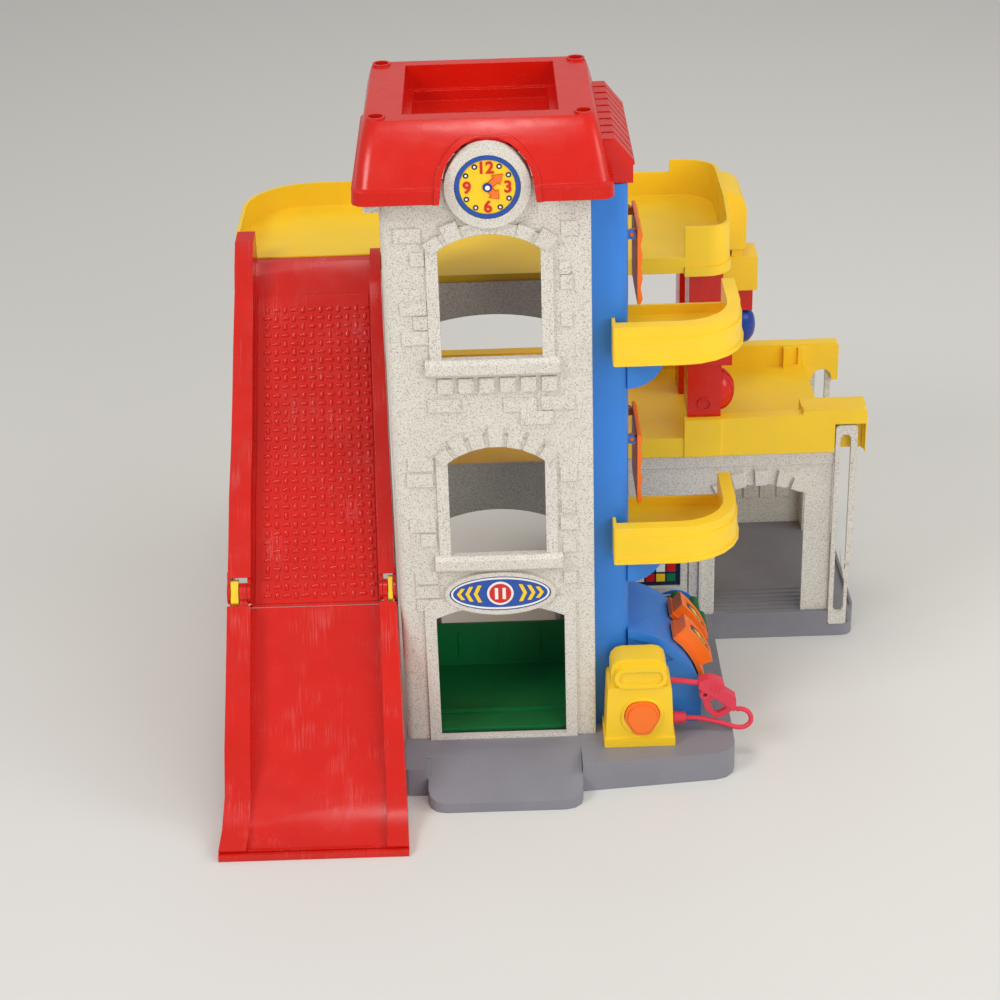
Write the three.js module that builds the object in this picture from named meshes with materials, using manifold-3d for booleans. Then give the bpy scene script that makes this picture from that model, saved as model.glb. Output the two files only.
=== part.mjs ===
// Toy parking garage with lift: a stone tower with a wound lift, two decks, a folding ramp,
// two lever-opened balcony gates and a pump with a hose and nozzle.
// Millimetres. +X runs to the right, +Y away from the child, +Z up. The table is at Z = 0.
import * as THREE from 'three';
import { mergeVertices } from 'three/addons/utils/BufferGeometryUtils.js';
import Module from 'manifold-3d';

const wasm = await Module();
wasm.setup();

// Mouldings
const WALL = 2.6; // moulded wall thickness
const GAP = 0.3; // clearance between neighbouring mouldings
const PAST = 1; // how far a cutting body runs past the face it cuts
const MERGE = 1e-4; // vertices closer than this are one
const FINE = 0.02; // detail finer than this is smoothed away
const CORNER_STEPS = 3; // facets on a rounded corner
const RIM_SIDES = 30; // facets on a large circle
const ROD_SIDES = 12; // facets on a small circle

// Base plates
const BASE = { top: 25, left: -126, right: 139, front: -175, frontRight: -163, rearEdge: 52.7, corner: 18,
  rib: 2.2, pitch: 48 };
const APRON = { left: -108, right: 15, front: -199, back: -146, low: 8.6, corner: 14 };
const STUB = { front: -174, corner: 3 };
const REAR = { left: 3, right: 266, front: 53, back: 254, corner: 10, lip: 2.5, lipRise: 2 };
const TREADS = { left: 120, right: 238, count: 6, pitch: 7, width: 2, depth: 0.8, start: 59 };

// Tower: the stone shell and its blue side
const TOWER = { left: -125, right: 28, front: -130, back: 22, top: 500, corner: 6, step: 14 };
const ARCH_STEPS = 12; // facets on a window arch
const DOOR = { left: -97, right: 4, low: 28, spring: 139, peak: 150 };
const DOOR_FRAME = { side: 9, top: 156, low: 25, proud: 3, slope: 6 };
const MIDDLE = { left: -83, right: -9, low: 195, spring: 275, peak: 288 };
const UPPER = { left: -84, right: -9, low: 361, spring: 447, peak: 459 };
const WINDOW_FRAME = { side: 9, proud: 2.4 };
const SILL = { over: 12.5, height: 14, proud: 7, chamfer: 3 };
const DENTILS = { count: 6, left: -88, pitch: 15.6, width: 11.4, low: 333, high: 345, proud: 2.4 };
const STONES = { inner: 0.8, short: 10, long: 14, proud: 4.2, share: 0.74 };
const MIDDLE_STONES = { pitch: 12.4, from: -3, to: 3 };
const UPPER_STONES = [-35, -22, 22, 35];
const BRICK_PROUD = 1.5;
const BRICKS = [
  [-105.5, 459, 20, 11], [-99, 440.7, 10.5, 10.5], [-103.4, 402, 20, 10.3], [-98.4, 390.4, 10.6, 10.5],
  [-103, 378.5, 20, 11], [12.3, 461.2, 12.2, 11], [8.4, 431, 8, 10.4], [9.6, 419.6, 9, 11.2],
  [9.4, 390.4, 8.6, 11.4], [-83.7, 322.8, 25, 10.8], [-26.7, 322, 25, 11.4], [1.8, 322.8, 25, 11.4],
  [-14.2, 310.8, 25, 11], [-103.6, 274, 19.6, 11.4], [-104.6, 260.6, 20, 11.2], [-104.2, 221.2, 20, 11],
  [-100, 208.6, 12, 11], [9, 262, 12.6, 11], [8.4, 234.4, 10.4, 11], [9, 220, 13.6, 11],
  [9, 200, 10, 10.6], [9, 172, 10, 10.8], [-103, 175, 18, 10.6], [-103, 162.6, 18, 10.4],
  [-104, 150.4, 16, 10.4],
];
const CLOCK = { x: -46, z: TOWER.top - 4.3, bezel: 32.3, proud: 6, recess: 24, depth: 3.2, plate: 1.8,
  rim: 20.2, rimRise: 0.5 };
const LUG = { left: -136, right: -125, low: 477, high: 485, depth: 9 };
const SIGN = { x: -46, z: 161, halfWidth: 43.5, halfHeight: 19, border: 3.6, proud: 4.4, recess: 2.4,
  plate: 1.6 };
const BACK = { openLeft: -98, openRight: 5, ground: 143, groundRise: 12, beamTop: 361, beamLow: 325,
  beamRise: 8, middleLow: 198, topHigh: 476 };
const SIDE = { front: -116, right: 56, top: TOWER.top - 12.4, corner: 8 };
const EXIT = { front: -98, back: -47, low: 357, high: 438.5, ear: 2.6 };
const LEVELS = 168; // height between the two balconies
const GUSSET = { radius: 29, front: -114, back: -62 };
const HOUSING = { x: 44, z: 44, radius: 70.5, front: -116, back: -34, panelInner: 62, panelFrom: 40,
  panelDepth: 1.4 };

// Roof
const ROOF = { left: -141, right: 42, front: -145, back: 38, low: TOWER.top - 12, high: TOWER.top + 40,
  corner: 10, bead: 2.6, beadHeight: 10 };
const ROOF_INSET = { left: 9, right: 10, front: 31, back: 5 };
const ROOF_CURVE = [[0, 0], [0.19, 0.04], [0.215, 0.06], [0.3, 0.13], [0.5, 0.3], [0.7, 0.52],
  [0.88, 0.77], [0.97, 0.93], [1, 1]];
const TRAY = { left: -106, right: 7, front: -100, back: 22, floor: TOWER.top + 13, ledge: TOWER.top + 21,
  step: 5 };
const CUPS = { radius: 7, hole: 5.4, deep: 9, inset: 7.5, tall: 26, rise: 1.5 };
const DORMER = { radius: 33.5, lip: 4.4, grow: 2.6, flare: 3, back: -126 };
const LEANTO = { front: -114, back: 30, inner: 30, ridge: 46, eaveX: 59.5, top: TOWER.top + 20,
  eave: TOWER.top + 3, low: ROOF.low, wall: 2.4 };
const TILES = { count: 9, pitch: 16, length: 12, rise: 1.2 };

// Decks
const DECK = { left: -254, right: 150.5, front: 46, back: 203, floor: 365, skirt: 12.5, wall: 385.5,
  curb: 1.4 };
const LANDING = { right: -134, front: 76 };
const TONGUE = { left: -96, right: 3, front: 22.3 };
const DECK_CORNER = { left: 58, backRight: 32, frontRight: 20 };
const DECK_RIBS = [102, 132];
const GUARD = { left: 112, low: 350, front: 392, high: 401, lipHeight: 8, lipOut: 1.8, rise: 62,
  crest: 92, backLeft: 100 };
const CHUTE = { left: 148, right: 173.5, front: 143, back: 196, low: 334, high: 386, round: 16 };
const CAP = { left: 159, right: 184, front: 143, back: 176, low: 296, high: 327 };
const PEG = { side: 3, front: 6, low: 275 };
const KNOB = { x: 168, y: 158, radius: 17, low: 243 };
const BALCONY = {
  left: 43, right: 142, front: -136, back: -45, corner: 47, wall: 10, top: 384, band: 9, step: 1.5,
    lip: 3, bead: 3, curb: 8,
};
const MID = { left: -114, right: 268.8, floorRight: 236, front: 52, back: 212, floor: 198, low: 182.5,
  corner: 6, ribs: 6 };
const RAIL = { left: 145.4, width: 12, lowHeight: 217, highHeight: 218.5, blockLeft: 214, blockTop: 222,
  blockDepth: 26 };
const OPEN_SIDE = { left: 69.5, right: 112.9, curb: 2 };
const POST_BLOCK = { left: 113.9, right: 145.4, depth: 8, top: 217 };
const NOTCH = { left: 242, right: 263.4, top: 208.6 };
const REAR_NOTCH = { x: 252, radius: 9, top: 189 };
const BRACKET = { left: 216, right: 234, low: 198, top: 217, slot: 8, thick: 3, depth: 7 };
const POST = { left: 117, right: 145, front: 57.4, depth: 36, rear: 145.6, cap: 264.5, capHeight: 8,
  capOut: 8.7, ring: 6, ringRise: 1.2 };
const DOME = { radius: 17, z: 235, out: 13, rib: 2.2, ribRise: 1.4, ribs: 3, spread: 7 };

// Low stone building
const LOW = { left: 6, right: 242.6, front: 57, top: 182.2, back: 226 };
const GATEWAY = { left: 142.2, right: 219, spring: 141.6, peak: 151.4 };
const GATEWAY_STONES = [-24, -12.6, 0, 12.6, 21.8];
const PIER = { left: 119.5, right: 141, proud: 3, second: 128, top: 130 };
const PANEL = { left: 59.4, right: 118, low: 54.9, high: 119, depth: 1.4, sill: 7, sillProud: 5 };
const FRIEZE = { low: 170, proud: 1.6 };
const PLATE = { left: 243, right: 261.5, front: 52.6, thick: 4, low: 12, top: 207, slot: 9, slotLow: 24,
  slotTop: 199, notch: 70, notchDepth: 2.5, rear: 206 };
const CLIP = { low: 58, high: 84, thick: 1.6, lean: 5 };
const BACK_WALL = { openLeft: 60, openRight: 116, openTop: 120, panels: 7, panelPitch: 15.6,
  panelWidth: 12, panelLeft: 124, panelLow: 52, panelHigh: 128 };

// Ramp: height against depth of the floor, and its width
const RAMP_PATH = [
  [75.7, 365.4], [66, 365.4], [57, 357], [47, 343], [18, 307], [-6, 274], [-32, 241], [-61, 211],
  [-84, 178], [-112, 142],
  [-131, 115], [-155, 82], [-179, 50.5], [-203, 23.5], [-228, 7], [-250, 3],
];
const RAMP_SPLIT = 9; // the point of the path where the lower ramp begins
const RAMP = {
  leftTop: -252, leftFoot: -269, rightTop: -136, rightFoot: -122, railLeftTop: 14.5, railLeftFoot: 21.5,
    railRightTop: 8.5,
  railRightFoot: 17, rise: 17.5, topRise: 24, rightTopRise: 6, flatFrom: -176, flatTo: -204, flatRise: 5,
    floor: 2.6, skirt: 12, topSkirt: 4,
  split: 0.5,
};
const FOOT = { front: -254, lip: 5.6, ridge: 3, pitch: 5, back: -245 };
const TREAD_PANEL = { frame: 2, proud: 1, from: 3, end: 3 };
const HINGE = { y: -112.5, z: 156, clear: 14, disc: 8.4, pin: 2.5, bore: 2.8, web: 5 };
const LATCH = { length: 11.6, half: 7, rise: 3 };
const HOOKS = [{ y: 40, size: 6 }, { y: 8, size: 6 }];

// Lift
const CAR = {
  left: -117, right: 50, front: -124, back: -23, low: 27, floor: 3, wall: 2.4, backHeight: 43,
    sideHeight: 30, round: 8,
  ridge: -100, ridgeWidth: 3, ridgeRise: 2.2, line: 1, lines: 3, lineGap: 34, notch: 24, notchBack: -111,
};
const GUIDE = { x: 40, flangeFront: -3.5, flangeBack: -0.5, half: 6, web: 2, low: 25.3, top: 458,
  ear: 484 };
const SHOE = { low: 30, high: 58, front: -8, back: 3.2, wall: 3, clear: 0.4, hookLow: 46, hookBack: 14 };
const WHEEL = {
  x: 104, z: 54, radius: 25, front: -22, back: 4, lobes: 8, lobe: 4.6, hub: 9, shaft: 4, bore: 4.3,
    shaftFront: -40.5, shaftBack: 25,
  recess: 17, rim: 20.4, depth: 6,
};
const SPOOL = { front: 7, back: 17, radius: 15.2, flange: 18.5, flangeWidth: 1.4 };
const STAND = { front: 19.4, thick: 6, foot: 2.6, footOut: 14, top: 64, half: 9 };
const PULLEY = { x: 41.5, y: 12, z: 474, groove: 8.4, flange: 11.4, half: 3, bore: 2.3, pin: 2 };
const LINE = 1.6; // lift line diameter
const LINE_LEFT = 31; // the line rises here from the car's hook
const LINE_RIGHT = 52; // and comes down here beside the blue side
const LINE_DOWN = 84; // where it turns towards the spool
const FAIRLEAD = 4; // half width of the slot that lets the line out of the tower

// Levers, gates and pump
const LEVER = {
  inner: 71.8, outer: 75.8, from: 2, to: 48, front: -106, pitch: 36, width: 27, hub: 4.8, bore: 2.8,
    arm: 4, armFrom: 10,
  armTo: 40, turn: 10,
};
const PAD = { from: 20, to: 47, outer: 86, inset: 3, seat: 1, border: 4 };
const SHAFT = { x: 61.4, z: 44, radius: 2.4 };
const GATE = {
  x: 59.5, z: 443, pin: 1.8, bore: 2.1, front: -104, back: -41, low: 389, high: 448, ear: 3.4, lug: 3.1,
    lugWidth: 3,
  inner: 3.7, outer: 7, ripple: 0.8, ripples: 3, round: 4,
};
const PUMP = {
  left: 34.5, right: 90, front: -150, back: -116.5, shoulder: 80, taper: 2.4, capLeft: 39.5, capRight: 84,
    capTop: 104,
  capRound: 10, capBack: 4, capRear: -124, foot: 33, footOut: 1.4, socket: 3.4, socketZ: 74, socketY: -130,
};
const PUMP_RING = { x: 64, z: 53.5, radius: 17.6, proud: 2.2 };
const PUMP_PILL = { x: 63, z: 89.3, halfWidth: 21, halfHeight: 9.4, proud: 1.6, rim: 3.6 };
const PRESS = { x: 64, low: 38, high: 68, topWidth: 29, round: 10.5, lowRound: 12, inside: 9, dome: 3.4,
  edge: 2.4, slack: 0.35, lowShare: 0.42, highShare: 0.8 };
const COLLAR = { y: -130, z: 38, radius: 5.6, tip: 4.2, left: 91, right: 101 };
const HOSE = { diameter: 4, sides: 8, steps: 44 };
const HOSE_ROUTE = [
  [101.3, -130, 37.6], [109, -130, 37], [116.3, -130.4, 35.9], [126.7, -131.2, 33.4], [135, -131.8, 30.6],
  [142.3, -132, 28.2], [148.5, -131.8, 28.4], [153, -131.2, 32], [153.4, -130.6, 37.5], [150.6, -130.2, 42],
  [146.4, -130, 44.1], [141.6, -130, 44.3],
];
const NOZZLE = { y: -130, half: 4.5, guardHalf: 2.6, eyeX: 115.9, eyeZ: 60.6, eye: 4.4, eyeHole: 1.7 };
const NOZZLE_BODY = [
  [110.6, 67, 1], [121, 59.8], [131.5, 52], [139, 44.6, 1], [141.2, 46.4, 1], [140.8, 57.4, 2],
  [131.6, 64.4], [131.2, 70.6, 2],
  [126, 74.4, 2], [118.8, 76.6, 2], [110.6, 73.4, 1],
];
const NOZZLE_GUARD = [[112.6, 61.6, 2], [116.4, 46.4, 3], [125, 37.2, 3], [131.4, 39.6, 2], [140, 46, 1],
  [130, 56], [118, 64]];
const NOZZLE_GUARD_HOLE = [[119.6, 53.6, 1.4], [122.6, 44.8, 1.4], [126.2, 41.8, 1.4], [134.2, 46.8, 1.4],
  [124.2, 56.4, 1.4]];
const NOZZLE_SPOUT = { fromX: 92.6, toX: 111.4, fromZ: 73.4, toZ: 70.4, radius: 2.3 };

// Looks of the mouldings: colour, roughness and metalness
const STONE = { color: 0xd8d2c6, roughness: 0.62, metalness: 0 };
const RED = { color: 0xd0201a, roughness: 0.28, metalness: 0 };
const YELLOW = { color: 0xf8cc3c, roughness: 0.34, metalness: 0 };
const BLUE = { color: 0x3f7fd0, roughness: 0.36, metalness: 0 };
const NAVY = { color: 0x14398c, roughness: 0.34, metalness: 0 };
const GREEN = { color: 0x1f7a45, roughness: 0.4, metalness: 0 };
const GREY = { color: 0x86868e, roughness: 0.42, metalness: 0 };
const ORANGE = { color: 0xff7a2a, roughness: 0.34, metalness: 0 };
const PINK = { color: 0xdc3f5c, roughness: 0.36, metalness: 0 };
const STEEL = { color: 0xb8bcc0, roughness: 0.3, metalness: 1 };
const CORD_WHITE = { color: 0xe4e0d4, roughness: 0.8, metalness: 0 };

// Outlines

/** Turns corners [x, y, radius] into the points of a closed outline. */
function roundCorners(corners, steps = CORNER_STEPS) {
  const count = corners.length;
  return corners.flatMap(([x, y, radius = 0], i) => {
    const corner = new THREE.Vector2(x, y);
    if (radius === 0) return [corner];
    const before = new THREE.Vector2(...corners[(i + count - 1) % count]).sub(corner).normalize();
    const after = new THREE.Vector2(...corners[(i + 1) % count]).sub(corner).normalize();
    const half = Math.acos(THREE.MathUtils.clamp(before.dot(after), -1, 1)) / 2;
    const middle = before.clone().add(after).normalize();
    const centre = corner.clone().addScaledVector(middle, radius / Math.sin(half));
    const start = corner.clone().addScaledVector(before, radius / Math.tan(half)).sub(centre).angle();
    const end = corner.clone().addScaledVector(after, radius / Math.tan(half)).sub(centre).angle();
    const sweep = Math.atan2(Math.sin(end - start), Math.cos(end - start));
    return Array.from({ length: steps + 1 }, (_, k) => {
      const angle = start + (sweep * k) / steps;
      return new THREE.Vector2(Math.cos(angle), Math.sin(angle)).multiplyScalar(radius).add(centre);
    });
  });
}

/** Moves each side of a counter-clockwise outline of corners inwards. */
function inset(corners, distance) {
  const count = corners.length;
  return corners.map(([x, y, radius = 0], i) => {
    const [px, py] = corners[(i + count - 1) % count];
    const [nx, ny] = corners[(i + 1) % count];
    const into = new THREE.Vector2(x - px, y - py).normalize();
    const out = new THREE.Vector2(nx - x, ny - y).normalize();
    const reach = distance / (1 + into.dot(out));
    const change = into.cross(out) > 0 ? -distance : distance;
    const rounded = radius === 0 ? 0 : Math.max(radius + change, PAST / 2);
    return [x - (into.y + out.y) * reach, y + (into.x + out.x) * reach, rounded];
  });
}

/** The corners of a rectangle, counter-clockwise, with one radius. */
function rectangle(left, right, low, high, radius = 0) {
  return [[left, low, radius], [right, low, radius], [right, high, radius], [left, high, radius]];
}

/** Points of an arc in degrees. */
function arc(x, y, radius, from, to, steps) {
  return Array.from({ length: steps + 1 }, (_, k) => {
    const angle = THREE.MathUtils.degToRad(from + ((to - from) * k) / steps);
    return new THREE.Vector2(x + radius * Math.cos(angle), y + radius * Math.sin(angle));
  });
}

/** Centre and radius of the arc that closes an opening above its spring line. */
function archOf(opening) {
  const half = (opening.right - opening.left) / 2;
  const rise = opening.peak - opening.spring;
  const radius = (half * half + rise * rise) / (2 * rise);
  return { x: opening.left + half, z: opening.peak - radius, radius, half: Math.asin(half / radius) };
}

/** Outline of an arched opening, grown all round by an edge but not below its foot. */
function archedOutline(opening, edge = 0) {
  const arch = archOf(opening);
  const half = THREE.MathUtils.radToDeg(arch.half);
  const turn = edge === 0 ? half : half + edge / 2;
  const radius = arch.radius + edge;
  const top = arc(arch.x, arch.z, radius, 90 - turn, 90 + turn, ARCH_STEPS);
  const wide = edge === 0 ? [] : [new THREE.Vector2(opening.right + edge, top[0].y)];
  const narrow = edge === 0 ? [] : [new THREE.Vector2(opening.left - edge, top[0].y)];
  const right = new THREE.Vector2(opening.right + edge, opening.low);
  const left = new THREE.Vector2(opening.left - edge, opening.low);
  return edge === 0 ? [left, right, ...top] : [left, right, ...wide,
    ...top.filter((p) => inside(p, left, right)), ...narrow];
}

/** Whether a point lies between two others across the width. */
function inside(point, left, right) {
  return point.x > left.x + MERGE && point.x < right.x - MERGE;
}

// Solids

/** A closed geometry as a solid that can be joined and cut. */
function solidOf(geometry) {
  const bare = geometry.clone();
  bare.deleteAttribute('normal');
  bare.deleteAttribute('uv');
  const merged = mergeVertices(bare, MERGE);
  const vertProperties = new Float32Array(merged.attributes.position.array);
  const triVerts = new Uint32Array(merged.index.array);
  return new wasm.Manifold(new wasm.Mesh({ numProp: 3, vertProperties, triVerts }));
}

function join(...solids) {
  return solids.flat().reduce((whole, solid) => whole.add(solid));
}

function cut(solid, ...tools) {
  return tools.flat().reduce((whole, tool) => whole.subtract(tool), solid);
}

function extrusion(points, depth) {
  return new THREE.ExtrudeGeometry(new THREE.Shape(points), { depth, bevelEnabled: false, steps: 1 });
}

/** A plan outline standing from one height to another. */
function standing(points, low, high) {
  return solidOf(extrusion(points, high - low).translate(0, 0, low));
}

/** An X-Z outline running from front to back. */
function throughY(points, front, back) {
  return solidOf(extrusion(points, back - front).rotateX(Math.PI / 2).translate(0, back, 0));
}

/** A Y-Z outline running from left to right. */
function throughX(points, left, right) {
  const turn = new THREE.Matrix4().makeBasis(
    new THREE.Vector3(0, 1, 0), new THREE.Vector3(0, 0, 1), new THREE.Vector3(1, 0, 0));
  return solidOf(extrusion(points, right - left).applyMatrix4(turn).translate(left, 0, 0));
}

function block(left, right, front, back, low, high) {
  const box = new THREE.BoxGeometry(right - left, back - front, high - low);
  return solidOf(box.translate((left + right) / 2, (front + back) / 2, (low + high) / 2));
}

/** A round rod between two points, or a cone where the far radius differs. */
function rod(from, to, radius, farRadius = radius, sides = ROD_SIDES) {
  const start = new THREE.Vector3(...from);
  const along = new THREE.Vector3(...to).sub(start);
  const cylinder = new THREE.CylinderGeometry(farRadius, radius, along.length(), sides);
  const turn = new THREE.Quaternion().setFromUnitVectors(new THREE.Vector3(0, 1, 0),
    along.clone().normalize());
  cylinder.applyQuaternion(turn);
  return solidOf(cylinder.translate(...start.addScaledVector(along, 1 / 2).toArray()));
}

/** A closed body through rings of points, each with the same count. */
function loft(rings) {
  const count = rings[0].length;
  const positions = rings.flatMap((ring) => ring.flatMap((p) => p.toArray()));
  const index = [];
  rings.slice(1).forEach((_, r) => {
    for (let i = 0; i < count; i += 1) {
      const a = r * count + i;
      const b = r * count + ((i + 1) % count);
      index.push(a, b, a + count, b, b + count, a + count);
    }
  });
  const cap = THREE.ShapeUtils.triangulateShape(rings[0].map((p) => new THREE.Vector2(p.x, p.y)), []);
  const last = (rings.length - 1) * count;
  cap.forEach(([a, b, c]) => index.push(a, c, b, last + a, last + b, last + c));
  const geometry = new THREE.BufferGeometry();
  geometry.setAttribute('position', new THREE.Float32BufferAttribute(positions, 3));
  geometry.setIndex(index);
  return solidOf(geometry);
}

/** A tube along a free curve. */
function tube(points, diameter, sides, steps) {
  const path = new THREE.CatmullRomCurve3(points.map((p) => new THREE.Vector3(...p)), false, 'centripetal');
  const circle = new THREE.Shape(arc(0, 0, diameter / 2, 0, 360 - 360 / sides, sides - 1));
  return solidOf(new THREE.ExtrudeGeometry(circle, { steps, bevelEnabled: false, extrudePath: path }));
}

function meshOf(name, solid, look) {
  const { vertProperties, triVerts, numProp } = solid.asOriginal().simplify(FINE).getMesh();
  const geometry = new THREE.BufferGeometry();
  const positions = Float32Array.from({ length: (vertProperties.length / numProp) * 3 },
    (_, i) => vertProperties[Math.floor(i / 3) * numProp + (i % 3)]);
  geometry.setAttribute('position', new THREE.BufferAttribute(positions, 3));
  geometry.setIndex(new THREE.BufferAttribute(new Uint32Array(triVerts), 1));
  geometry.computeVertexNormals();
  const mesh = new THREE.Mesh(geometry, new THREE.MeshStandardMaterial({ ...look, flatShading: true }));
  mesh.name = name;
  return mesh;
}

// Base

/** A moulded tray turned over: a top skin, a rim and a grid of ribs below. */
function ribbedPlate(corners, top, ribLeft, ribRight, ribFront, ribBack) {
  const outer = standing(roundCorners(corners), 0, top);
  const hollow = standing(roundCorners(inset(corners, WALL)), -PAST, top - WALL);
  const ribs = [];
  for (let x = ribLeft + BASE.pitch; x < ribRight; x += BASE.pitch) {
    ribs.push(block(x, x + BASE.rib, ribFront, ribBack, BASE.rib, top));
  }
  for (let y = ribFront + BASE.pitch; y < ribBack; y += BASE.pitch) {
    ribs.push(block(ribLeft, ribRight, y, y + BASE.rib, BASE.rib + PAST, top));
  }
  return cut(outer, cut(hollow, ribs));
}

function baseFront() {
  const corners = [
    [BASE.left, STUB.front, STUB.corner], [APRON.left, STUB.front], [APRON.left, APRON.front, APRON.corner],
    [APRON.right, APRON.front, APRON.corner], [APRON.right, BASE.front],
    [BASE.right, BASE.frontRight, BASE.corner],
    [BASE.right, BASE.rearEdge, 2], [BASE.left, BASE.rearEdge, 2],
  ];
  const plate = ribbedPlate(corners, BASE.top, BASE.left, BASE.right, APRON.front, BASE.rearEdge);
  const slope = [
    new THREE.Vector2(APRON.front - PAST, APRON.low), new THREE.Vector2(APRON.back, BASE.top),
    new THREE.Vector2(APRON.back, BASE.top + PAST), new THREE.Vector2(APRON.front - PAST, BASE.top + PAST),
  ];
  const wedge = throughX(slope, APRON.left - PAST, APRON.right + GAP);
  const under = slope.map((p) => new THREE.Vector2(p.x, p.y - WALL));
  const skin = throughX([under[0], under[1], slope[1], slope[0]], APRON.left + WALL, APRON.right);
  const inner = standing(roundCorners(inset(corners, WALL / 2)), 0, BASE.top);
  return cut(join(plate, skin.intersect(inner)), wedge);
}

function baseRear() {
  const corners = rectangle(REAR.left, REAR.right, REAR.front, REAR.back, REAR.corner);
  const plate = ribbedPlate(corners, BASE.top, REAR.left, REAR.right, REAR.front, REAR.back);
  const lip = block(REAR.right - REAR.lip, REAR.right, REAR.front + REAR.corner, REAR.back - REAR.corner,
    BASE.top, BASE.top + REAR.lipRise);
  const grooves = Array.from({ length: TREADS.count }, (_, i) => {
    const y = TREADS.start + i * TREADS.pitch;
    return block(TREADS.left, TREADS.right, y, y + TREADS.width, BASE.top - TREADS.depth, BASE.top + PAST);
  });
  return cut(join(plate, lip), grooves, slotPlateSeat(PLATE.front), slotPlateSeat(PLATE.rear));
}

/** Clearance round the foot of a slot plate where it passes another piece. */
function slotPlateSeat(front, high = BASE.top + PAST) {
  return block(PLATE.left - GAP, REAR.right + PAST, front - GAP * 2, front + PLATE.thick + GAP,
    PLATE.low - GAP, high);
}

// Tower

/** Wedge stones fanned along an arch, the middle one taller. */
function archStones(opening, angles, front) {
  const arch = archOf(opening);
  const pitch = Math.min(...angles.slice(1).map((angle, i) => Math.abs(angle - angles[i])));
  return angles.map((angle, i) => {
    const tall = angle === 0 || i % 2 === 1;
    const half = (pitch * STONES.share) / 2;
    const inner = arch.radius + STONES.inner;
    const outer = inner + (tall ? STONES.long : STONES.short);
    const ends = [[inner, -half], [outer, -half], [outer, half], [inner, half]];
    const outline = ends.map(([radius, turn]) => {
      const direction = THREE.MathUtils.degToRad(angle + turn);
      return new THREE.Vector2(arch.x + radius * Math.sin(direction),
        arch.z + radius * Math.cos(direction));
    }).reverse();
    return throughY(outline, front - STONES.proud, front + WALL / 2);
  });
}

/** A raised frame round a window opening. */
function windowFrame(opening) {
  return throughY(archedOutline(opening, WINDOW_FRAME.side), TOWER.front - WINDOW_FRAME.proud,
    TOWER.front + PAST);
}

/** A sill with a chamfered nose below a window. */
function windowSill(opening) {
  const nose = TOWER.front - SILL.proud;
  const low = opening.low - SILL.height;
  const outline = [
    new THREE.Vector2(TOWER.front + PAST, low), new THREE.Vector2(TOWER.front + PAST, opening.low),
    new THREE.Vector2(nose + SILL.chamfer, opening.low), new THREE.Vector2(nose,
      opening.low - SILL.chamfer),
    new THREE.Vector2(nose, low + SILL.chamfer), new THREE.Vector2(nose + SILL.chamfer, low),
  ].reverse();
  return throughX(outline, opening.left - SILL.over, opening.right + SILL.over);
}

function doorFrame() {
  const left = DOOR.left - DOOR_FRAME.side;
  const right = DOOR.right + DOOR_FRAME.side;
  const outline = [
    [left, DOOR_FRAME.low], [right, DOOR_FRAME.low], [right, DOOR_FRAME.top - DOOR_FRAME.slope],
    [right - DOOR_FRAME.slope, DOOR_FRAME.top], [left + DOOR_FRAME.slope, DOOR_FRAME.top],
    [left, DOOR_FRAME.top - DOOR_FRAME.slope],
  ];
  return throughY(roundCorners(outline), TOWER.front - DOOR_FRAME.proud, TOWER.front + PAST);
}

/** A bossed disc with a shallow seat for the clock dial. */
function clockBezel() {
  const front = TOWER.front - CLOCK.proud;
  const boss = rod([CLOCK.x, TOWER.front + WALL, CLOCK.z], [CLOCK.x, front, CLOCK.z], CLOCK.bezel,
    CLOCK.bezel - PAST, RIM_SIDES);
  const seat = rod([CLOCK.x, front + CLOCK.depth, CLOCK.z], [CLOCK.x, front - PAST, CLOCK.z], CLOCK.recess,
    CLOCK.recess, RIM_SIDES);
  return cut(boss, seat);
}

function ellipse(halfWidth, halfHeight) {
  const round = arc(0, 0, 1, 0, 360 - 360 / RIM_SIDES, RIM_SIDES - 1);
  return round.map((p) => new THREE.Vector2(SIGN.x + p.x * halfWidth, SIGN.z + p.y * halfHeight));
}

/** The oval sign's raised border. */
function signBorder() {
  const front = TOWER.front - SIGN.proud;
  const boss = throughY(ellipse(SIGN.halfWidth, SIGN.halfHeight), front, TOWER.front + PAST);
  const seat = throughY(ellipse(SIGN.halfWidth - SIGN.border, SIGN.halfHeight - SIGN.border),
    front - PAST, front + SIGN.recess);
  return cut(boss, seat);
}

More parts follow.
